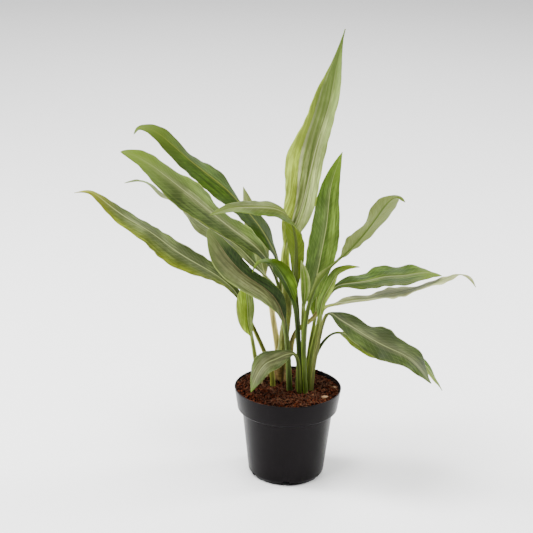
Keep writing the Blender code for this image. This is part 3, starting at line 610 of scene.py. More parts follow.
def puckers(along, across, half, phase):
    """Low swellings of a blade: sines of two pitches that cross, and a fine margin ripple."""
    big = np.sin(along / (9 * MM) + phase) * np.cos(across / (7 * MM) + 0.7 * phase)
    small = np.sin(along / (4.2 * MM) - across / (5 * MM) + 2 * phase)
    edge = np.sin(along / (3.1 * MM) + 1.3 * np.sin(along / (11 * MM)) + phase)
    share = np.abs(across) / np.maximum(half, 1e-6)
    swelling = (0.7 * big + 0.3 * small) * share * (1 - 0.5 * share)
    return PUCKER * swelling + RIPPLE * edge * share ** 4


print("half width a fifth of the way along:", round(float(blade_outline(0.2, 0.5, 1.0)), 2))

# %% [markdown]
# The rows are laid along the midrib first. What was drawn in a few even steps, such as where the
# upper side faces, is read in between them.

# %% Rows along the midrib
STALK_ROWS = 24
BLADE_ROWS = 84
TANGENT_STEP = 4 * MM       # how far on each side the midrib's direction is measured


def even_steps(t, values):
    """Values given in even steps along the blade, read at t."""
    values = np.asarray(values, float)
    steps = np.linspace(0, 1, len(values))
    if values.ndim == 1:
        return np.interp(t, steps, values)
    return read_curve(values, steps, t)


def leaf_rows(leaf):
    """Where the rows lie along the midrib, and which way each of them looks.

    They are even on the stalk and closer at both ends of the blade. The normal is the drawn
    facing made square to the midrib, and t is the share of the blade that lies behind a row.
    """
    curve, lengths, knots = smooth_curve(np.array(leaf.path) * MM)
    total = lengths[-1]
    begin = knots[leaf.base]
    share = np.linspace(0, 1, BLADE_ROWS)
    share = (share + (1 - np.cos(np.pi * share)) / 2) / 2
    stalk_rows = np.linspace(0, begin, STALK_ROWS, endpoint=False)
    rows = np.concatenate([stalk_rows, begin + share * (total - begin)])
    t = np.clip((rows - begin) / (total - begin), 0, 1)
    place = read_curve(curve, lengths, rows)
    ahead = read_curve(curve, lengths, np.minimum(rows + TANGENT_STEP, total))
    behind = read_curve(curve, lengths, np.maximum(rows - TANGENT_STEP, 0))
    tangent = unit(ahead - behind)
    facing = even_steps((t + smooth_step(t)) / 2, unit(np.array(leaf.faces, float)))
    normal = unit(facing - np.sum(facing * tangent, axis=1, keepdims=True) * tangent)
    return rows, begin, t, place, tangent, normal


print(LEAVES[0].name, "has its", BLADE_ROWS, "blade rows from",
      round(float(leaf_rows(LEAVES[0])[1]) / MM), "mm along the midrib")

# %% [markdown]
# A stalk is round and has a channel on its upper side, and a blade is a thin sheet with a thick
# rib below. Both come from one rule for the thickness, which goes over from the stalk's to the
# blade's.

# %% Thickness of stalk and blade
ACROSS = 25                 # points from margin to margin on each side
SKIN = 0.32 * MM            # half the blade's thickness, and the same at its margin
MARGIN_SKIN = 0.16 * MM
RIB_SPREAD = 1.2            # how many radii wide the swelling below the midrib is
CHANNEL = 0.45              # depth of the stalk's channel, as a share of its radius
STALK_CORNER = 0.02         # keeps the two edges of the stalk from being knife-thin


def skins(middle, normal, radius, winged, blade, from_rib):
    """Upper and lower skin, each set off from the middle along the surface's own normal.

    On the stalk they make a round with a channel on top: half the thickness is the radius times
    the root of one less the reach squared. On the blade it is an even thickness that thins
    towards the margin, and below comes the swelling of the midrib.
    """
    across = np.linspace(-1, 1, ACROSS)[None, :]
    skin_normal = unit(np.cross(np.gradient(middle, axis=1), np.gradient(middle, axis=0)))
    agrees = np.sum(skin_normal * normal[:, None], axis=-1, keepdims=True)
    skin_normal = skin_normal * np.where(agrees < 0, -1.0, 1.0)
    reach = np.clip(np.abs(across) * winged / radius, 0, 1)
    stalk_half = radius * np.sqrt(np.clip(1 - reach ** 2, STALK_CORNER, 1))
    channel = stalk_half - CHANNEL * radius * (1 - reach ** 2) ** 2
    rib = radius * np.exp(-(from_rib / (RIB_SPREAD * radius)) ** 2)
    skin = SKIN + (MARGIN_SKIN - SKIN) * across ** 4
    above = np.maximum((1 - blade) * channel + blade * skin, MARGIN_SKIN)
    below = np.maximum((1 - blade) * stalk_half + blade * (skin + rib), MARGIN_SKIN)
    return middle + skin_normal * above[..., None], middle - skin_normal * below[..., None]


print("a blade is", 2 * SKIN / MM, "mm thick and", 2 * MARGIN_SKIN / MM, "mm at its margin")

# %% [markdown]
# Now the middle of the skin can be bent as the leaf was drawn: opened from the stalk, folded
# along the midrib and waved at its margins. A wave that leans outwards as well as up looks like
# a ruffle, and one that only goes up looks like corrugated sheet.

# %% Both sides of a leaf
OPENS = 0.1                 # share of the blade over which the stalk opens into it
WAVE_POWER = 1.5            # how fast a margin's wave dies away towards the midrib
RUFFLE = 0.6                # how far a wave also leans outwards
RIB_THINS = 0.85            # share of its radius that the midrib loses up to the tip
GROOVE = 0.7 * MM           # over the midrib
GROOVE_WIDTH = 1.5 * MM
LIP = 0.35                  # how far the channel's edges rise, as a share of the stalk's radius
WING = 0.2                  # how much wider than round the stalk is at its foot
PLANTED = 6 * MM            # how deep a stalk reaches below the top of the mix


def leaf_surfaces(leaf):
    """Upper and lower skin of a leaf as grids of points, with each point's place on the leaf.

    Middle of the skin = midrib + side x lateral + normal x rise. Lateral is the half width
    times u, which runs from -1 to 1. Rise is the fold of the half, plus a sine wave at each
    margin that dies away towards the midrib, less the groove, plus the puckers.
    """
    rows, begin, t, place, tangent, normal = leaf_rows(leaf)
    side = np.cross(tangent, normal)
    foot, neck = leaf.stalk
    stalk_share = np.clip(rows / begin, 0, 1)
    radius = (foot + (neck - foot) * stalk_share) * MM
    radius = (radius * (1 - RIB_THINS * smooth_step(t)))[:, None]
    winged = radius * (1 + WING * (1 - stalk_share[:, None] ** 3))
    u = np.linspace(-1, 1, ACROSS)[None, :]
    widths = np.where(u < 0, *leaf.half_width) * MM
    half = np.hypot(winged, widths * blade_outline(t, leaf.widest, leaf.fullness)[:, None])
    blade = smooth_step(t / OPENS)[:, None]
    fold = np.radians(even_steps(t, leaf.fold))[:, None]
    lateral = half * u * (1 + (np.cos(fold) - 1) * blade)
    rise = half * np.abs(u) * np.sin(fold) * blade
    swell = (np.sin(np.pi * t ** 0.8) ** 0.6)[:, None]
    for sign, (height, count, start) in ((-1, leaf.left), (1, leaf.right)):
        reach = np.clip(sign * u, 0, 1) ** WAVE_POWER
        wave = height * MM * swell * reach * np.sin(2 * np.pi * (count * t[:, None] + start))
        rise = rise + wave
        lateral = lateral + sign * RUFFLE * wave
    from_rib = half * u
    past = (rows - begin)[:, None]
    rise = rise - GROOVE * blade * (1 - t[:, None]) * np.exp(-(from_rib / GROOVE_WIDTH) ** 2)
    rise = rise + blade * swell * puckers(past, from_rib, half, float(len(leaf.name) + leaf.widest))
    rise = rise + (1 - blade) * LIP * radius * np.abs(u) ** 3
    middle = place[:, None] + side[:, None] * lateral[..., None] + normal[:, None] * rise[..., None]
    upper, lower = skins(middle, normal, radius, winged, blade, from_rib)
    where = np.stack([from_rib / MM, np.broadcast_to(past / MM, from_rib.shape),
                      np.broadcast_to(t[:, None], from_rib.shape)], axis=-1)
    if leaf.planted:
        sunk = -tangent[0] * PLANTED
        upper = np.concatenate([upper[:1] + sunk, upper])
        lower = np.concatenate([lower[:1] + sunk, lower])
        where = np.concatenate([where[:1], where])
    return upper, lower, where


upper, _, _ = leaf_surfaces(LEAVES[0])
print(LEAVES[0].name, "spans", np.round(np.ptp(upper, axis=(0, 1)) / MM).tolist(), "mm")

# %% [markdown]
# The two sides become one closed mesh. Each vertex also carries its place on the leaf, which a
# material can read, so that veins and zones follow the blade however it bends.

# %% A leaf as a mesh
def add_leaf(leaf, finish):
    """One closed skin round both sides. Vertices carry where they are on the leaf, and the side."""
    upper, lower, where = leaf_surfaces(leaf)
    rows = len(upper)
    ring = 2 * ACROSS
    points = np.concatenate([upper, lower[:, ::-1]], axis=1).reshape(-1, 3)
    j = np.arange(ACROSS - 1)
    k = ring - 1 - j
    foot_end = np.stack([j, k, k - 1, j + 1], axis=1)
    tip_end = np.stack([j, j + 1, k - 1, k], axis=1) + (rows - 1) * ring
    faces = np.concatenate([ring_faces(rows, ring), foot_end, tip_end])
    piece = add_piece(leaf.name + "_fine", points, faces, finish)
    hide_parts(leaf.name)
    u = np.linspace(-1, 1, ACROSS)
    side = np.zeros((ring, 3))
    side[:, 0] = np.concatenate([u, u[::-1]])
    side[:ACROSS, 1] = 1
    carry(piece.data, "on_leaf", np.concatenate([where, where[:, ::-1]], axis=1))
    carry(piece.data, "leaf_side", np.tile(side, (rows, 1)))


print("a leaf has", 2 * ACROSS * (STALK_ROWS + BLADE_ROWS), "points")

# %% [markdown]
# ## How a leaf is painted
# The colour of a blade changes most from one margin to the other: a soft silver zone beside the
# midrib, darker green between, and a bright rim that lets light through. So each leaf gets a ramp
# of a few colours across its width, read with a little noise so that the zones run out in
# streaks, as they do along the side veins. The tip, the lower side and the stalk each have a
# colour of their own, and thin veins and clouds of darker green go over all of it.

# %% The colours of one leaf
BLUE_SHARE = 0.9            # the room is a little too blue for the leaves


@dataclass
class Paint:
    """The colours of one leaf, in linear red, green and blue."""

    across: tuple               # pairs: a place between the margins, at -1 and 1, and its colour
    under: tuple                # the lower side
    stalk: tuple
    tip: tuple
    tip_reach: float = 0.25     # share of the blade that the tip's colour covers
    rib: tuple = (0.20, 0.23, 0.09)
    edge: tuple = (0.17, 0.21, 0.05)
    # edge: the margin's colour, painted light for what shines through the thin margin
    veins: float = 0.14         # how clear the side veins are
    streaks: float = 0.16       # how far the zones run into each other
    foot: float = 1.0           # painted shade: the blade's colours times this where it leaves the stalk
    light: float = 1.0          # painted light and shade: all colours times this, more for a leaf that is lit or lets light through, less in the shade
    turn: float = 0.0           # how far the zones shift to the left margin on the way to the tip

    def __post_init__(self):
        """Spread the light over every colour."""
        for name in ("under", "stalk", "tip", "rib", "edge"):
            setattr(self, name, self.lit(getattr(self, name)))
        self.across = [(where, self.lit(colour)) for where, colour in self.across]

    def lit(self, colour):
        """One colour times the light, with less blue in it because the room is bluish white."""
        red, green, blue = (min(1.0, self.light * value) for value in colour)
        return red, green, BLUE_SHARE * blue

# %% [markdown]
# The zones and the veins are drawn in the leaf's own measures, which its vertices carry: how far
# a point lies from the midrib and from the blade's beginning in millimetres, and its share of
# the way to the margin and to the tip. So a vein is as wide on a narrow leaf as on a broad one.

# %% The finish of a leaf
VEIN_PITCH = 7.0            # mm between side veins, and between the fine lines
FINE_PITCH = 1.5
VEIN_LEAN = 1.3             # how far a vein runs to the tip for each mm towards the margin


class LeafFinish(Finish):
    """The finish of one leaf, from its paint. It reads the measures that the vertices carry."""

    def __init__(self, name, paint):
        """Take the measures, and make the streaks and veins that several layers share."""
        super().__init__(name, roughness=0.42, specular=0.08)
        self.colours = paint
        x, self.y, self.t = self.parts(self.read("on_leaf"))
        self.u, self.is_upper, _ = self.parts(self.read("leaf_side"))
        self.far = self.sum("ABSOLUTE", x)
        self.a = self.sum("ABSOLUTE", self.u)
        along = self.sum("SUBTRACT", self.y, self.times(self.far, VEIN_LEAN))
        vein_place = self.place(self.times(x, 0.10), self.times(along, 0.45), 0.0)
        long_place = self.place(self.times(x, 0.60), self.times(self.y, 0.035), 0.0)
        self.cross_streaks = self.noise(0.9, 3.0, vein_place, 0.6)
        self.long_streaks = self.noise(0.8, 3.0, long_place, 0.6)
        cloud = self.noise(45.0, 2.0)
        self.vein = self.step(self.lines(along, cloud, 2.0, VEIN_PITCH), 0.09, 0.0)
        self.fine = self.lines(along, cloud, 1.0, FINE_PITCH)
        self.at_tip = self.step(self.t, 1.0 - paint.tip_reach, 1.0)

    def lines(self, along, cloud, bend, pitch):
        """Distance from the nearest of many even lines, which a cloud bends, in pitches."""
        bent = self.plus(along, self.spread(cloud, -bend, bend))
        return self.sum("PINGPONG", self.sum("DIVIDE", bent, pitch), 0.5)

    def zones(self):
        """The ramp across the blade. Streaks shift it, least of all beside the midrib."""
        both = self.plus(self.times(self.cross_streaks, 0.5), self.times(self.long_streaks, 0.5))
        drift = self.times(self.sum("SUBTRACT", both, 0.5), 4 * self.colours.streaks)
        drift = self.times(drift, self.spread(self.a, 0.15, 0.65))
        where = self.plus(self.spread(self.u, 0.5, 1.0), drift)
        where = self.plus(where, self.spread(self.t, 0.0, self.colours.turn / 2))
        return self.ramp(where, [((place + 1) / 2, colour) for place, colour in self.colours.across])

    def upper(self):
        """Zones, patches, streaks and veins, the midrib between dark lines, the tip and the foot."""
        paint = self.colours
        colour = self.zones()
        deep = self.scaled(colour, 0.5)
        patches = self.step(self.noise(26.0, 3.0, None, 0.6), 0.38, 0.66)
        colour = self.mix(patches, self.scaled(colour, 0.68), self.scaled(colour, 1.45))
        colour = self.coat(colour, deep, self.step(self.long_streaks, 0.42, 0.60), 0.85)
        colour = self.coat(colour, deep, self.step(self.fine, 0.5, 0.05), 0.05)
        colour = self.coat(colour, paint.rib, self.vein, paint.veins)
        thin = self.spread(self.t, 1.0, 0.4)
        beside = self.step(self.far, self.times(thin, 2.8), self.times(thin, 1.2))
        colour = self.coat(colour, deep, beside, 0.55)
        rib = self.step(self.far, self.times(thin, 1.1), self.times(thin, 0.5))
        colour = self.coat(colour, paint.rib, rib, 0.85)
        colour = self.coat(colour, paint.tip, self.at_tip, 0.9)
        # painted shade: the first part of the blade is darkened by the foot factor
        return self.mix(self.step(self.t, 0.22, 0.0), colour, self.scaled(colour, paint.foot))

    def lower(self):
        """The paler side: streaks of two shades, with veins and midrib in the stalk's colour."""
        paint = self.colours
        dull = tuple(0.72 * value for value in paint.under)
        colour = self.mix(self.step(self.cross_streaks, 0.35, 0.68), dull, paint.under)
        colour = self.coat(colour, dull, self.step(self.long_streaks, 0.45, 0.62), 0.4)
        colour = self.coat(colour, paint.stalk, self.vein, 0.3)
        colour = self.mix(self.step(self.far, 2.2, 0.9), colour, paint.stalk)
        return self.coat(colour, paint.tip, self.at_tip, 0.5)

    def stalk(self):
        """Long lines of two shades, and paler edges along the channel."""
        pale, dark = (tuple(factor * value for value in self.colours.stalk) for factor in (1.7, 0.55))
        lines = self.noise(260.0, 2.0, self.stretch(1.0, 1.0, 0.12))
        colour = self.mix(self.step(lines, 0.35, 0.65), dark, self.colours.stalk)
        return self.mix(self.step(self.a, 0.62, 0.92), colour, pale)

    def whole(self):
        """One side or the other, the bright rim over both, the stalk, and the veins as bumps."""
        colour = self.mix(self.is_upper, self.lower(), self.upper())
        # painted light: the bright rim stands for light that comes through the thin margin
        rim = self.sum("SUBTRACT", self.a, self.sum("DIVIDE", 0.6, self.plus(self.far, 3.0)))
        colour = self.coat(colour, self.colours.edge, self.step(rim, 0.90, 0.97), 0.7)
        colour = self.mix(self.step(self.y, 8.0, -12.0), colour, self.stalk())
        height = self.plus(self.times(self.vein, -0.4), self.times(self.fine, 0.25))
        height = self.plus(height, self.times(self.noise(900.0, 2.0), 0.25))
        height = self.plus(height, self.times(self.long_streaks, 1.2))
        rough = self.spread(self.noise(120.0, 2.0), 0.36, 0.54)
        return self.paint(colour, rough, height, 0.0002)


print("leaf finish ready")

# %% [markdown]
# ## The colours of each leaf
# No two leaves catch the same light or have the same age. The oldest are dull and dark, the
# young ones are thin and let yellow light through, and two show their pale undersides to the
# front. Each leaf gets its own colours, chosen against the photograph. They are darker
# than they look in the picture, because the light is strong and the view lifts dark tones.

# %% Colours leaf by leaf
DEEP = (0.020, 0.038, 0.006)
GRASS = (0.038, 0.075, 0.007)
MEADOW = (0.062, 0.110, 0.010)
LIME = (0.210, 0.300, 0.022)
OLIVE = (0.080, 0.132, 0.010)
YELLOW = (0.125, 0.130, 0.010)
GREY = (0.062, 0.078, 0.028)
SILVER = (0.110, 0.130, 0.050)
PALE = (0.170, 0.205, 0.070)
ASH = (0.180, 0.190, 0.090)
FRESH_STALK = (0.060, 0.080, 0.013)
DARK_STALK = (0.020, 0.031, 0.006)
PALE_STALK = (0.110, 0.125, 0.030)

PAINTS = {
    "leaf_big_left": Paint(
        across=((-1, (0.095, 0.112, 0.008)), (-0.7, (0.07, 0.09, 0.012)), (-0.3, GREY),
                (0, (0.08, 0.094, 0.04)), (0.4, GREY), (1, (0.045, 0.062, 0.018))),
        under=ASH, stalk=(0.075, 0.08, 0.014), tip=YELLOW, foot=0.7, veins=0.15, light=1.8),
    "leaf_upper_left": Paint(
        across=((-1, GRASS), (-0.2, GRASS), (0, (0.055, 0.085, 0.01)), (0.3, GRASS),
                (1, (0.05, 0.08, 0.014))),
        under=PALE, stalk=FRESH_STALK, tip=(0.09, 0.135, 0.014), tip_reach=0.4,
        rib=(0.15, 0.17, 0.02), foot=0.75, light=0.73),
    "leaf_mid_left": Paint(
        across=((-1, (0.035, 0.055, 0.011)), (-0.3, (0.045, 0.063, 0.018)), (-0.1, SILVER),
                (0.12, SILVER), (0.35, (0.065, 0.096, 0.018)), (1, (0.07, 0.108, 0.02))),
        under=PALE, stalk=FRESH_STALK, tip=(0.072, 0.11, 0.01), tip_reach=0.4, foot=0.6, light=1.22),
    "leaf_thin_left": Paint(
        across=((-1, SILVER), (0, GREY), (1, MEADOW)), under=SILVER, stalk=PALE_STALK,
        tip=MEADOW, light=1.42),
    "leaf_bent_front": Paint(
        across=((-1, MEADOW), (-0.3, (0.075, 0.1, 0.018)), (0.4, (0.08, 0.1, 0.024)),
                (1, (0.07, 0.1, 0.014))),
        under=(0.12, 0.175, 0.01), stalk=FRESH_STALK, tip=(0.07, 0.1, 0.014), veins=0.12,
        light=1.03),
    "leaf_tallest": Paint(
        across=((-1, (0.15, 0.2, 0.018)), (-0.85, (0.23, 0.29, 0.05)), (-0.4, (0.19, 0.24, 0.028)),
                (-0.26, (0.12, 0.16, 0.018)), (-0.2, (0.21, 0.22, 0.12)), (-0.08, (0.082, 0.11, 0.026)),
                (0.08, (0.14, 0.165, 0.062)), (0.16, (0.062, 0.088, 0.02)), (0.3, (0.13, 0.155, 0.058)),
                (0.42, (0.07, 0.096, 0.024)), (0.55, (0.135, 0.158, 0.06)), (1, (0.1, 0.13, 0.036))),
        under=LIME, stalk=(0.15, 0.19, 0.03), tip=(0.056, 0.086, 0.018), tip_reach=0.7,
        edge=(0.15, 0.2, 0.018), rib=(0.2, 0.21, 0.11), veins=0.06, streaks=0.04, turn=0.7,
        light=1.85),
    "leaf_right_upright": Paint(
        across=((-1, (0.04, 0.072, 0.01)), (-0.4, (0.055, 0.092, 0.018)), (-0.12, (0.09, 0.124, 0.04)),
                (0.1, (0.042, 0.072, 0.012)), (0.5, (0.088, 0.135, 0.024)), (1, (0.052, 0.088, 0.014))),
        under=PALE, stalk=FRESH_STALK, tip=(0.085, 0.135, 0.018), tip_reach=0.3, veins=0.1, light=2.25),
    "leaf_small_arch": Paint(
        across=((-1, DEEP), (0.05, (0.03, 0.054, 0.007)), (0.35, (0.065, 0.12, 0.008)),
                (1, (0.085, 0.145, 0.01))),
        under=GRASS, stalk=DARK_STALK, tip=(0.085, 0.13, 0.012), tip_reach=0.3, rib=MEADOW, veins=0.1,
        light=1.5),
    # the right half's near-black greens are painted shade for its fold
    "leaf_front_ovate": Paint(
        across=((-1, (0.06, 0.078, 0.024)), (-0.5, (0.078, 0.086, 0.036)), (-0.06, (0.066, 0.072, 0.03)),
                (0.06, (0.012, 0.024, 0.004)), (0.6, (0.011, 0.022, 0.004)), (1, (0.016, 0.03, 0.005))),
        under=GRASS, stalk=(0.04, 0.055, 0.014), tip=(0.06, 0.078, 0.024), rib=(0.105, 0.09, 0.042),
        veins=0.12, light=2.0),
    "leaf_young_left": Paint(
        across=((-1, (0.2, 0.23, 0.055)), (-0.7, LIME), (-0.1, (0.11, 0.16, 0.014)), (0.1, MEADOW),
                (0.35, (0.12, 0.15, 0.045)), (1, (0.07, 0.105, 0.022))),
        under=PALE, stalk=(0.1, 0.125, 0.025), tip=(0.12, 0.18, 0.012), veins=0.1, light=1.85),
    "leaf_right_up": Paint(
        across=((-1, MEADOW), (1, MEADOW)), under=(0.15, 0.19, 0.05), stalk=(0.062, 0.092, 0.013),
        tip=(0.11, 0.15, 0.022), edge=(0.2, 0.24, 0.09), light=1.17),
    "leaf_young_right": Paint(
        across=((-1, (0.062, 0.105, 0.016)), (0, (0.082, 0.125, 0.022)), (1, (0.13, 0.175, 0.03))),
        under=OLIVE, stalk=FRESH_STALK, tip=(0.14, 0.19, 0.02), tip_reach=0.4, veins=0.1, light=1.9),
    "leaf_right_level": Paint(
        across=((-1, MEADOW), (-0.4, GRASS), (-0.1, (0.07, 0.11, 0.012)), (0.12, (0.092, 0.125, 0.024)),
                (0.4, GRASS), (0.8, (0.08, 0.115, 0.016)), (1, MEADOW)),
        under=ASH, stalk=(0.2, 0.18, 0.05), tip=(0.115, 0.175, 0.01), tip_reach=0.3, light=0.83),
    "leaf_right_edge": Paint(
        across=((-1, ASH), (0, SILVER), (1, ASH)), under=(0.25, 0.26, 0.11), stalk=PALE_STALK, tip=SILVER,
        light=1.93),
    "leaf_lower_right": Paint(
        across=((-1, (0.036, 0.056, 0.013)), (-0.35, (0.055, 0.072, 0.025)), (-0.08, (0.1, 0.114, 0.052)),
                (0.12, (0.08, 0.092, 0.04)), (0.35, (0.036, 0.058, 0.01)), (1, (0.044, 0.068, 0.012))),
        under=SILVER, stalk=PALE_STALK, tip=(0.06, 0.09, 0.012), tip_reach=0.15, foot=0.8, light=0.88),
    "leaf_under_right": Paint(
        across=((-1, GRASS), (0, MEADOW), (0.6, (0.12, 0.16, 0.02)), (1, LIME)),
        under=PALE, stalk=DARK_STALK, tip=(0.085, 0.13, 0.012), edge=(0.28, 0.34, 0.09), light=1.23),
    "leaf_drooping": Paint(
        across=((-1, (0.05, 0.076, 0.016)), (-0.4, (0.088, 0.096, 0.04)), (0.4, (0.098, 0.106, 0.048)),
                (1, (0.046, 0.074, 0.012))),
        under=SILVER, stalk=FRESH_STALK, tip=(0.055, 0.095, 0.008), edge=(0.2, 0.2, 0.09), light=0.97),
    "leaf_striped": Paint(
        across=((-1, PALE), (-0.55, MEADOW), (-0.1, (0.19, 0.25, 0.06)), (0.35, MEADOW), (1, PALE)),
        under=PALE, stalk=FRESH_STALK, tip=PALE, veins=0.05, streaks=0.08, light=2.0),
    "leaf_back_short": Paint(
        across=((-1, OLIVE), (1, MEADOW)), under=MEADOW, stalk=FRESH_STALK, tip=(0.15, 0.19, 0.02),
        tip_reach=0.12, edge=(0.22, 0.26, 0.03), light=1.8),
    "leaf_back_left": Paint(
        across=((-1, PALE), (1, SILVER)), under=PALE, stalk=(0.33, 0.28, 0.11), tip=SILVER, light=1.65),
}
print(len(PAINTS), "leaf paints")

# %% [markdown]
# Each leaf now grows from its drawing and its colours, and takes the place of its solid.

# %% Grow the leaves
for leaf in LEAVES:
    finish = LeafFinish(leaf.name + "_finish", PAINTS[leaf.name]).whole()
    add_leaf(leaf, finish)
print(len(LEAVES), "leaves, each with", 2 * ACROSS * (STALK_ROWS + BLADE_ROWS), "points")

# %% [markdown]
# ## The stems
# The cane is the oldest part of the plant: a woody base as thick as a thumb, ringed by the scars
# where leaves have dropped, that turns green and smooth higher up. A curve with a bevel would be
# smooth, so the tube is worked out as rings along a spline, swollen at each scar and slightly
# ridged along its length.

# %% A ringed tube
TUBE_SIDES = 40
SCAR_WIDTH = 1.1 * MM
RIDGES = 9                  # round the stem, turning a little on the way up
RIDGE_TURN = 400            # radians in a metre


def stem_tube(axis, rows, scars, scar_height, ridge_height):
    """Rings round a spline. Radius = the drawn radius + a bump at each scar + low ridges.

    A scar's bump is a narrow bell round its own place, in millimetres from the foot.
    """
    table = np.array(axis, float) * MM
    curve, lengths, knots = smooth_curve(table[:, :3])
    where = np.linspace(0, lengths[-1], rows)
    places = read_curve(curve, lengths, where)
    radii = np.interp(where, knots, table[:, 3])
    tangent = unit(np.gradient(places, axis=0))
    side = unit(np.cross(tangent, (0.0, 1.0, 0.0)))
    front = np.cross(side, tangent)
    angle = np.linspace(0, 2 * np.pi, TUBE_SIDES, endpoint=False)[None, :]
    rings = sum(np.exp(-((where - scar * MM) / SCAR_WIDTH) ** 2) for scar in scars)
    ridges = np.sin(RIDGES * angle + RIDGE_TURN * where[:, None])
    radius = (radii + scar_height * MM * rings)[:, None] + ridge_height * MM * ridges
    points = (places[:, None] + side[:, None] * (radius * np.cos(angle))[..., None]
              + front[:, None] * (radius * np.sin(angle))[..., None])
    return points.reshape(-1, 3)


print("a tube has", TUBE_SIDES, "sides")

# %% [markdown]
# The cane's axis follows the photograph, and its scars lie closer together at the foot. The
# bark is brown there, where it is oldest, and the border to the green part is ragged. The short
# stem at the right stands in the shade of the stalks that sheathe it, so it is dark.

# %% The cane and the green stem
CANE_AXIS = (
    # place and radius in mm, from the foot up
    (-9, 27, 94, 8.5), (-9, 27, 98, 8.5), (-9, 27, 105, 8.5), (-9, 27, 113, 8.0), (-8, 26, 122, 7.0),
    (-6, 25, 138, 6.3), (-5, 24, 160, 5.4), (-3, 23, 178, 5.0), (-3, 22, 195, 5.8),
    (-4, 21, 212, 5.3), (-4, 20, 226.9, 5.2),
)
CANE_SCARS = (9, 16, 24, 33, 44, 57, 72, 90, 108)
CANE_ROWS = 130
STEM_AXIS = ((17, 2, 94, 3.2), (17, 2, 120, 3.2), (16, 2, 159.5, 2.8))
STEM_SCARS = (8, 22, 38, 55)
STEM_ROWS = 60


def cane_finish():
    """Brown at the foot and olive green above, with long stripes, patches and dark rings."""
    make = Finish("cane_finish", roughness=0.6, specular=0.15)
    height = make.parts(make.object_space)[2]
    stripes = make.noise(420.0, 4.0, make.stretch(1.0, 1.0, 0.10))
    patches = make.noise(60.0, 3.0)
    across = make.noise(500.0, 3.0, make.stretch(0.15, 0.15, 1.0))
    brown = make.mix(make.step(stripes, 0.35, 0.65), (0.075, 0.045, 0.012), (0.25, 0.165, 0.050))
    brown = make.coat(brown, (0.045, 0.024, 0.007), make.step(across, 0.55, 0.68), 0.5)
    green = make.mix(make.step(stripes, 0.3, 0.7), (0.070, 0.085, 0.011), (0.190, 0.215, 0.036))
    green = make.coat(green, (0.14, 0.125, 0.035), make.step(patches, 0.5, 0.7), 0.5)
    ragged = make.plus(height, make.spread(patches, -0.012, 0.012))
    colour = make.mix(make.step(ragged, 0.112, 0.135), brown, green)
    height_map = make.plus(stripes, make.times(across, 0.6))
    return make.paint(colour, make.spread(stripes, 0.5, 0.75), height_map, 0.0004)


def green_stem_finish():
    """Dark green with paler stripes."""
    make = Finish("green_stem_finish", roughness=0.5, specular=0.15)
    stripes = make.noise(500.0, 3.0, make.stretch(1.0, 1.0, 0.08))
    colour = make.mix(make.step(stripes, 0.3, 0.7), (0.007, 0.010, 0.002), (0.018, 0.025, 0.004))
    return make.paint(colour, make.spread(stripes, 0.42, 0.6), stripes, 0.0003)


cane_points = stem_tube(CANE_AXIS, CANE_ROWS, CANE_SCARS, scar_height=0.35, ridge_height=0.12)
cane = add_piece("cane_ringed", cane_points, close_tube(CANE_ROWS, TUBE_SIDES), cane_finish())
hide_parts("cane_main")
stem_points = stem_tube(STEM_AXIS, STEM_ROWS, STEM_SCARS, scar_height=0.2, ridge_height=0.06)
stem = add_piece("stem_ringed", stem_points, close_tube(STEM_ROWS, TUBE_SIDES), green_stem_finish())
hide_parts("stem_right")
print("stems", len(cane_points), len(stem_points), "points")

# %% [markdown]
# ## The pot
# A nursery pot is blown or pressed from thin black plastic: a collar to grip at the top, a
# short ledge under it so that pots can stack, a tapering wall, and drain notches in the corner of
# the floor. It is a profile turned about the axis. Every corner of the profile is rounded by
# replacing it with a short curve, because a sharp edge catches no light.

# %% The profile of the pot
CORNER_STEPS = 6
POT_PROFILE = (
    # radius, height and the size of the round at each corner, in mm
    (0.0, 1.2, 0.0), (14.0, 1.2, 0.6), (16.0, 3.7, 0.6), (26.0, 3.7, 0.6), (28.0, 1.2, 0.6),
    (38.1, 1.2, 1.0), (41.4, 5.3, 1.0), (49.6, 77.0, 1.5), (55.0, 80.5, 1.0), (58.8, 104.0, 0.45),
    (60.0, 104.0, 0.45), (56.2, 79.5, 0.8), (50.8, 76.0, 0.3), (43.0, 8.5, 0.3), (42.6, 5.0, 1.2),
    (39.3, 0.0, 0.8), (28.0, 0.0, 0.5), (26.0, 2.5, 0.5), (16.0, 2.5, 0.5), (14.0, 0.0, 0.5),
    (0.0, 0.0, 0.0),
)


def round_corners(profile):
    """Each corner becomes a short curve: (1-s) squared of the point before it, 2s(1-s) of the
    corner and s squared of the point after it, where both points lie one round away."""
    corners = np.array(profile, float) * MM
    points = [corners[0, :2]]
    for before, corner, after in zip(corners[:-2], corners[1:-1], corners[2:]):
        size = corner[2]
        start = corner[:2] + unit(before[:2] - corner[:2]) * size
        end = corner[:2] + unit(after[:2] - corner[:2]) * size
        s = np.linspace(0, 1, CORNER_STEPS)[:, None]
        points.extend((1 - s) ** 2 * start + 2 * s * (1 - s) * corner[:2] + s ** 2 * end)
    points.append(corners[-1, :2])
    return np.array(points)


pot_profile = round_corners(POT_PROFILE)
print("the profile has", len(POT_PROFILE), "corners and", len(pot_profile), "points")

# %% [markdown]
# The turned profile is a grid again, and its two ends on the axis are single points, so that the
# skin is closed. The plastic is nearly black and mirrors softly.

# %% Turn the pot
POT_STEPS = 144


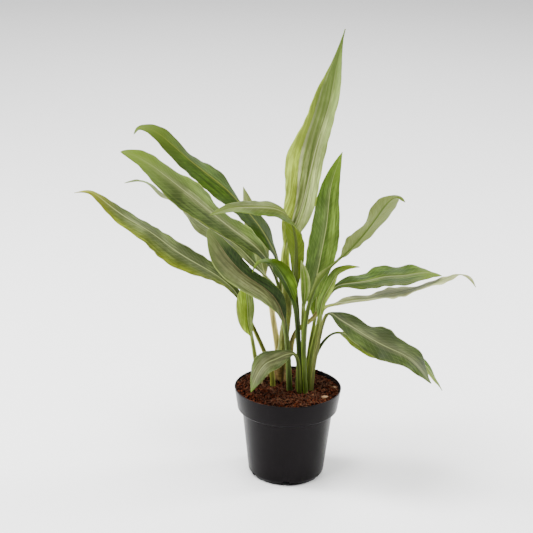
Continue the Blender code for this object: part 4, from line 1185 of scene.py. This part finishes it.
def turn_profile(profile, steps):
    """Radius and height turned round Z. The two ends on the axis become one point each."""
    inner = profile[1:-1]
    angle = np.linspace(0, 2 * np.pi, steps, endpoint=False)[None, :]
    radius, height = inner[:, :1], np.broadcast_to(inner[:, 1:], (len(inner), steps))
    rings = np.stack([radius * np.cos(angle), radius * np.sin(angle), height], axis=-1).reshape(-1, 3)
    points = np.concatenate([rings, [[0, 0, profile[0, 1]], [0, 0, profile[-1, 1]]]])
    faces = ring_faces(len(inner), steps)[:, ::-1].tolist()
    j = np.arange(steps)
    k = (j + 1) % steps
    last_ring = (len(inner) - 1) * steps
    faces += np.stack([np.full(steps, len(rings)), j, k], axis=1).tolist()
    faces += np.stack([np.full(steps, len(rings) + 1), last_ring + k, last_ring + j], axis=1).tolist()
    return points, faces


def pot_finish():
    """Near-black plastic. Fine grain and faint rubbed streaks keep the gloss from looking new."""
    make = Finish("pot_finish", roughness=0.30, specular=0.065)
    make.shader.inputs["Specular Tint"].default_value = (1.0, 0.90, 0.94, 1.0)
    grain = make.noise(1400.0, 2.0)
    cloud = make.noise(28.0, 3.0)
    rubs = make.noise(160.0, 3.0, make.stretch(1.0, 1.0, 0.2))
    colour = make.mix(make.step(cloud, 0.3, 0.7), (0.0024, 0.0021, 0.0023), (0.0034, 0.0029, 0.0032))
    colour = make.coat(colour, (0.008, 0.007, 0.0075), make.step(rubs, 0.6, 0.75), 0.2)
    rough = make.plus(make.spread(cloud, 0.26, 0.36), make.spread(grain, -0.03, 0.03))
    return make.paint(colour, rough, make.plus(grain, make.times(cloud, 2.0)), 0.00008)


points, faces = turn_profile(pot_profile, POT_STEPS)
pot = add_piece("pot_turned", points, faces, pot_finish())
print("turned pot", len(pot.data.polygons), "faces")

# %% [markdown]
# Water drains through six notches in the corner of the floor. A boolean cuts them, which is
# simpler than leaving holes in the grid. Its result becomes the pot's mesh, so that no live
# modifier is left.

# %% Cut the drain notches
NOTCH_COUNT = 6
NOTCH_REACH = (24, 45)      # all in mm: from and to which radius it cuts,
NOTCH_RISE = (-1, 6)        # from and to which height,
NOTCH_HALF = (4.15, 2.6)    # and half its width below and above
WEDGE_FACES = ((0, 1, 3, 2), (4, 6, 7, 5), (0, 4, 5, 1), (2, 3, 7, 6), (0, 2, 6, 4), (1, 5, 7, 3))
SHARP = math.radians(30)    # an edge that turns further than this stays sharp


def wedge(index):
    """Corners of a cutter, wide below and narrow above, turned to its place round the pot."""
    points = [(radius * MM, side * half * MM, height * MM)
              for height, half in zip(NOTCH_RISE, NOTCH_HALF)
              for radius in NOTCH_REACH for side in (-1, 1)]
    turn = Matrix.Rotation(2 * math.pi * index / NOTCH_COUNT - math.pi / 2, 3, "Z")
    return np.array(points) @ np.array(turn).T


wedges = np.concatenate([wedge(index) for index in range(NOTCH_COUNT)])
cutter_mesh = bpy.data.meshes.new("notches")
cutter_mesh.from_pydata(wedges.tolist(), [], repeat_faces(WEDGE_FACES, len(wedge(0)), NOTCH_COUNT))
cutter = bpy.data.objects.new("notches", cutter_mesh)
bpy.context.scene.collection.objects.link(cutter)
cut = pot.modifiers.new("notches", "BOOLEAN")
cut.object = cutter
cut.solver = "EXACT"
bpy.context.view_layer.update()
shape = bpy.data.meshes.new_from_object(pot.evaluated_get(bpy.context.evaluated_depsgraph_get()))
pot.modifiers.clear()
pot.data = shape
shape.set_sharp_from_angle(angle=SHARP)
bpy.data.objects.remove(cutter)
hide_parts("pot")
print("pot", len(pot.data.polygons), "faces")

# %% [markdown]
# ## The potting mix
# Coir mix is red-brown, full of dark gaps, with crumbs and fibres lying every way. A material
# alone looks like paint on a lid, so the top is a fine grid lifted by several sizes of noise,
# and crumbs and fibres lie on it as real shapes. The noise is a sum of sines in turned
# directions, which needs no picture and is the same on each run.

# %% How high the mix stands
RIM_RADIUS = 60 * MM
SOIL_LEVEL = 101 * MM
SOIL_SLOPE = 2 * MM
SOIL_HIGH_SIDE = math.radians(205)
SOIL_LUMP = 0.6 * MM
SOIL_LUMP_PITCH = 17 * MM
SOIL_RADIUS = 57.9 * MM


def soil_height(x, y):
    """The slope and the low lumps that the solid has."""
    across = x * math.cos(SOIL_HIGH_SIDE) + y * math.sin(SOIL_HIGH_SIDE)
    wave = 2 * math.pi / SOIL_LUMP_PITCH
    lump = SOIL_LUMP * np.sin(wave * x + 1.0) * np.cos(wave * y)
    return SOIL_LEVEL + SOIL_SLOPE * across / RIM_RADIUS + lump


def crumble(x, y, pitch, layers, seed):
    """Rough noise from -1 to 1: the mean of sines that run in random directions at a pitch."""
    picks = np.random.default_rng(seed)
    total = np.zeros_like(x)
    for _ in range(layers):
        turn = picks.uniform(0, 2 * np.pi)
        wave = 2 * np.pi / (pitch * picks.uniform(0.7, 1.4))
        bent = x * np.cos(turn) + y * np.sin(turn)
        cross = y * np.cos(turn) - x * np.sin(turn)
        total += np.sin(wave * bent + 1.7 * np.sin(0.6 * wave * cross) + picks.uniform(0, 6.28))
    return total / layers


def soil_top(x, y):
    """The solid's height plus crumbs: coarse clods, crumbs of 3 mm, and grit of 1 mm."""
    clods = 1.3 * MM * crumble(x, y, 11 * MM, 6, 1)
    crumbs = 1.3 * MM * crumble(x, y, 4.0 * MM, 7, 2)
    grit = 0.45 * MM * crumble(x, y, 1.5 * MM, 7, 3)
    radius = np.hypot(x, y)
    inside = np.clip((SOIL_RADIUS - radius) / (4 * MM), 0, 1)
    return soil_height(x, y) + inside * (clods + crumbs + grit)


print("mix at the middle", round(float(soil_top(np.zeros(1), np.zeros(1))[0]) / MM, 1), "mm up")

# %% [markdown]
# The finish has the same story as the shape: painted shade in the gaps between grains, red-brown
# crumbs, and lighter hairs. The top goes over into a short skirt inside the pot, which closes the piece.

# %% The top of the mix
SOIL_RINGS = 110
SOIL_STEPS = 300
SKIRT_FOOT = 88 * MM        # the piece is closed this low, well under the top
SKIRT_SHARE = 0.97          # and a little narrower, as the pot is


def soil_finish():
    """Red-brown crumbs, each grain a little different, with painted shade in the gaps between them."""
    make = Finish("soil_finish", roughness=0.92, specular=0.03)
    shaded_gaps = make.cells(420.0)
    hairs = make.noise(900.0, 4.0, make.stretch(1.0, 0.25, 0.6), 0.65, 1.5)
    cloud = make.noise(70.0, 3.0)
    colour = make.mix(make.step(cloud, 0.3, 0.7), (0.016, 0.0034, 0.0013), (0.080, 0.018, 0.0065))
    colour = make.mix(make.step(hairs, 0.5, 0.7), colour, (0.22, 0.062, 0.024))
    # painted shade: the gaps between grains are nearly black
    colour = make.mix(make.step(shaded_gaps, 0.40, 0.60), colour, (0.003, 0.001, 0.0006))
    bump = make.plus(make.times(hairs, 0.8), make.times(shaded_gaps, -0.8))
    return make.paint(colour, None, bump, 0.0012)


radius = SOIL_RADIUS * np.linspace(1 / SOIL_RINGS, 1, SOIL_RINGS)[::-1, None]
angle = np.linspace(0, 2 * np.pi, SOIL_STEPS, endpoint=False)[None, :]
x, y = radius * np.cos(angle), radius * np.sin(angle)
top = np.stack([x, y, soil_top(x, y)], axis=-1)
skirt = top[:1] * (SKIRT_SHARE, SKIRT_SHARE, 0) + (0, 0, SKIRT_FOOT)
points = np.concatenate([skirt, top]).reshape(-1, 3)
faces = close_tube(SOIL_RINGS + 1, SOIL_STEPS)
soil = add_piece("soil_top", points, faces, soil_finish())
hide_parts("soil")
print("soil", len(points), "points")

# %% [markdown]
# ## Crumbs and fibres
# A few thousand loose bits make the difference between a lid and earth. Repeated shapes stay
# small: a crumb is a squashed eight-sided grain, a clump a rounder one of 32 faces, and a fibre a
# three-sided hair bent in an arc. They are worked out for all bits at once, one mesh for each kind.

# %% Shapes of crumbs and clumps
GRAIN = np.array([(1, 0, 0), (-1, 0, 0), (0, 1, 0), (0, -1, 0), (0, 0, 1), (0, 0, -1)], float)
GRAIN_FACES = np.array([(0, 2, 4), (2, 1, 4), (1, 3, 4), (3, 0, 4),
                        (2, 0, 5), (1, 2, 5), (3, 1, 5), (0, 3, 5)])
rng = np.random.default_rng(7)


def scatter(count, limit, picks=rng):
    """Even random places on the top: the radius is the square root of a random share."""
    r = limit * np.sqrt(picks.random(count))
    turn = picks.uniform(0, 2 * np.pi, count)
    return r * np.cos(turn), r * np.sin(turn)


def random_turns(count):
    """A random rotation for each bit: two random vectors made square to each other."""
    a = unit(rng.normal(size=(count, 3)))
    b = rng.normal(size=(count, 3))
    b = unit(b - np.sum(a * b, axis=1, keepdims=True) * a)
    return np.stack([a, b, np.cross(a, b)], axis=2)


def split_faces(points, faces):
    """Each triangle becomes four: its edges' middles are new points, pushed out to the ball."""
    edges = np.sort(np.concatenate([faces[:, [0, 1]], faces[:, [1, 2]], faces[:, [2, 0]]]), axis=1)
    pairs, which = np.unique(edges, axis=0, return_inverse=True)
    middles = unit(points[pairs[:, 0]] + points[pairs[:, 1]])
    ab, bc, ca = (which.reshape(3, -1) + len(points))
    a, b, c = faces.T
    quarters = [(a, ab, ca), (b, bc, ab), (c, ca, bc), (ab, bc, ca)]
    faces = np.concatenate([np.stack(corners, axis=1) for corners in quarters])
    return np.concatenate([points, middles]), faces


def add_bits(name, shape, shape_faces, centres, half_sizes, roughness, smooth=False):
    """Copies of a small ball: each is stretched by its half sizes, dented, turned and put down."""
    count = len(centres)
    dents = rng.uniform(1 - roughness, 1 + roughness, (count, len(shape), 1))
    local = shape[None] * dents * half_sizes[:, None]
    points = np.einsum("nij,nkj->nki", random_turns(count), local) + centres[:, None]
    faces = repeat_faces(shape_faces.tolist(), len(shape), count)
    add_piece(name, points.reshape(-1, 3), faces, soil_finish(), smooth=smooth)
    print(name, count)


LUMP, LUMP_FACES = split_faces(GRAIN, GRAIN_FACES)

# %% [markdown]
# The crumbs are many and small, the clumps few and larger, and each sits a little above the top.
# A few crumbs have been pushed up against the rim at the back right, as watering does.

# %% Scatter crumbs and clumps
CRUMBS = 2400
CLUMPS = 520
RIM_CRUMBS = 26
RIM_CRUMB_SIDE = math.radians(57)     # from the right round towards the back

size = MM * rng.uniform(0.4, 1.5, CRUMBS) ** 1.3
x, y = scatter(CRUMBS, SOIL_RADIUS - 2.5 * MM)
centres = np.stack([x, y, soil_top(x, y) + 0.25 * size], axis=1)
add_bits("crumbs", GRAIN, GRAIN_FACES, centres, rng.uniform(0.5, 1.4, (CRUMBS, 3)) * size[:, None], 0.25)

size = MM * rng.uniform(1.0, 2.0, CLUMPS)
x, y = scatter(CLUMPS, SOIL_RADIUS - 3.5 * MM)
centres = np.stack([x, y, soil_top(x, y) + 0.2 * size], axis=1)
half_sizes = rng.uniform(0.5, 1.3, (CLUMPS, 3)) * size[:, None]
add_bits("clumps", LUMP, LUMP_FACES, centres, half_sizes, 0.3, smooth=True)

turn = rng.normal(RIM_CRUMB_SIDE, 0.07, RIM_CRUMBS)
out = rng.uniform(54, 59.3, RIM_CRUMBS)
lift = 101.5 + 0.5 * (out - 54) + rng.uniform(0, 1.2, RIM_CRUMBS)
centres = np.stack([out * np.cos(turn), out * np.sin(turn), lift], axis=1) * MM
add_bits("rim_crumbs", GRAIN, GRAIN_FACES, centres, rng.uniform(0.5, 1.3, (RIM_CRUMBS, 3)) * MM, 0.25)

# %% [markdown]
# ## Bark chips and old stubs
# Two pale chips of bark and a smaller one lie at the right, and left of the cane stand the dry
# feet of leaves that were pulled off. A chip is a flattened lump. A stub is a short tube that
# narrows upwards and ends in a torn edge, so its top ring is lifted by a wave.

# %% Bark chips
CHIPS = np.array([
    # place on the top and half sizes, in mm
    (41.3, -24.2, 3.6, 2.6, 1.5), (53.0, 10.2, 2.9, 2.2, 1.5), (25.6, -36.0, 1.1, 0.8, 0.7),
]) * MM
CHIP_TURNS = (0.5, 1.9, 1.0)
CHIP_TILT = 0.3


def chip_finish():
    """Dry pale wood with darker long grain."""
    make = Finish("chip_finish", roughness=0.8, specular=0.1)
    grain = make.noise(500.0, 3.0, make.stretch(0.3, 1.0, 1.0))
    colour = make.mix(make.step(grain, 0.35, 0.65), (0.10, 0.050, 0.022), (0.30, 0.20, 0.115))
    return make.paint(colour, None, grain, 0.0005)


seat = soil_top(CHIPS[:, 0], CHIPS[:, 1]) + 0.6 * CHIPS[:, 4]
flat = LUMP * np.array([1, 1, 0.9]) / np.maximum(np.abs(LUMP).max(axis=1, keepdims=True), 0.75)
tilt = Matrix.Rotation(CHIP_TILT, 3, "X")
turns = np.array([Matrix.Rotation(turn, 3, "Z") @ tilt for turn in CHIP_TURNS])
local = flat[None] * CHIPS[:, None, 2:] * rng.uniform(0.85, 1.15, (len(CHIPS), len(LUMP), 1))
centres = np.stack([CHIPS[:, 0], CHIPS[:, 1], seat], axis=1)
points = np.einsum("nij,nkj->nki", turns, local) + centres[:, None]
faces = repeat_faces(LUMP_FACES.tolist(), len(LUMP), len(CHIPS))
add_piece("bark_chips", points.reshape(-1, 3), faces, chip_finish(), smooth=False)
print(len(CHIPS), "chips")

# %% [markdown]
# A stub's foot lies in the mix, so its tube starts below the top and only the dry upper part
# shows.

# %% Old stubs
STUBS = (
    # place, radius and height in mm, and how far it leans for each mm up
    (-31.4, 11.5, 3.0, 9.0, 0.25), (-22.5, 30.3, 3.2, 11.0, 0.1),
)
STUB_SIDES = 20
STUB_ROWS = 8
STUB_FOOT = 96              # mm above the table
STUB_SUNK = 4               # the part that lies in the mix


def stub(x, y, radius, height, lean):
    """A tube on a flat oval: its radius falls to half and its top edge waves up and down."""
    h = np.linspace(0, 1, STUB_ROWS)[:, None]
    turn = np.linspace(0, 2 * np.pi, STUB_SIDES, endpoint=False)[None, :]
    r = radius * (1 - 0.5 * h) * (1 + 0.08 * np.cos(5 * turn))
    torn = h ** 3 * (1.4 * np.sin(2 * turn + 1) + 0.8 * np.sin(5 * turn))
    tube = np.stack([x + r * np.cos(turn) + lean * height * h,
                     y + 0.7 * r * np.sin(turn),
                     STUB_FOOT + (height + STUB_SUNK) * h + torn], axis=-1)
    return tube.reshape(-1, 3) * MM


def stub_finish():
    """Papery cream with long lines."""
    make = Finish("stub_finish", roughness=0.75, specular=0.1)
    lines = make.noise(600.0, 2.0, make.stretch(1.0, 1.0, 0.15))
    colour = make.mix(make.step(lines, 0.35, 0.65), (0.17, 0.13, 0.045), (0.42, 0.34, 0.17))
    return make.paint(colour, None, lines, 0.0003)


points = np.concatenate([stub(*numbers) for numbers in STUBS])
faces = repeat_faces(close_tube(STUB_ROWS, STUB_SIDES), STUB_ROWS * STUB_SIDES, len(STUBS))
add_piece("old_stubs", points, faces, stub_finish())
print(len(STUBS), "stubs")

# %% [markdown]
# Coir is coconut husk, and its hairs stick out of the mix. Most are short and lie flat. A few
# long pale ones arch over the top.

# %% Scatter fibres
FIBRES = 900
LONG_FIBRES = 90
FIBRE_ROWS = 7


def fibres(count, length_range, thick_range, lift, limit, seed):
    """Hairs: a flat arc along a random direction, lifted in its middle, as a three-sided tube."""
    picks = np.random.default_rng(seed)
    px, py = scatter(count, limit, picks)
    length = picks.uniform(*length_range, count) * MM
    heading = picks.uniform(0, 2 * np.pi, count)
    curl = picks.normal(0, 1.1, count)
    s = np.linspace(-0.5, 0.5, FIBRE_ROWS)[None, :]
    bearing = heading[:, None] + curl[:, None] * s
    step = length[:, None] / (FIBRE_ROWS - 1)
    x = px[:, None] + np.cumsum(np.cos(bearing) * step, axis=1)
    y = py[:, None] + np.cumsum(np.sin(bearing) * step, axis=1)
    reach = np.hypot(x, y)
    keep = np.minimum(1.0, (SOIL_RADIUS - 1.0 * MM) / np.maximum(reach, 1e-9))
    x, y = x * keep, y * keep
    arch = picks.uniform(0.0, lift, count)[:, None] * (1 - (2 * s) ** 2)
    tilt = picks.normal(0, 0.25, count)[:, None] * s * length[:, None]
    z = soil_top(x, y) + 0.3 * MM + arch * MM + np.abs(tilt)
    path = np.stack([x, y, z], axis=-1)
    along = unit(np.gradient(path, axis=1))
    side = unit(np.cross(along, (0, 0, 1.0)))
    up = np.cross(side, along)
    thick = picks.uniform(*thick_range, count)[:, None] * MM * (1 - 0.6 * (2 * s) ** 2)
    corner = np.arange(3) * 2 * np.pi / 3
    ring = (path[:, :, None] + side[:, :, None] * (thick[..., None] * np.cos(corner))[..., None]
            + up[:, :, None] * (thick[..., None] * np.sin(corner))[..., None])
    return ring.reshape(-1, 3), repeat_faces(close_tube(FIBRE_ROWS, 3), FIBRE_ROWS * 3, count)


def fibre_finish(name, dark, light):
    """One colour family, with each hair a little lighter or darker than the next."""
    make = Finish(name, roughness=0.75, specular=0.25)
    colour = make.mix(make.step(make.noise(300.0, 2.0), 0.3, 0.7), dark, light)
    return make.paint(colour, None, make.noise(2500.0, 2.0), 0.0001)


points, faces = fibres(FIBRES, (4, 13), (0.07, 0.17), 1.5, SOIL_RADIUS - 4 * MM, 11)
finish = fibre_finish("fibre_finish", (0.055, 0.018, 0.007), (0.17, 0.065, 0.028))
add_piece("fibres", points, faces, finish)
points, faces = fibres(LONG_FIBRES, (6, 20), (0.08, 0.16), 4.0, SOIL_RADIUS - 6 * MM, 12)
finish = fibre_finish("long_fibre_finish", (0.11, 0.045, 0.02), (0.24, 0.13, 0.06))
add_piece("long_fibres", points, faces, finish)
print(FIBRES + LONG_FIBRES, "fibres")

# %% [markdown]
# ## The last step
# The dressed plant has to fill the same box as the solids, or its pieces would no longer fit
# what the CAD model says. Here the scene is only brought up to date.

# %% Bring the scene up to date
bpy.context.view_layer.update()
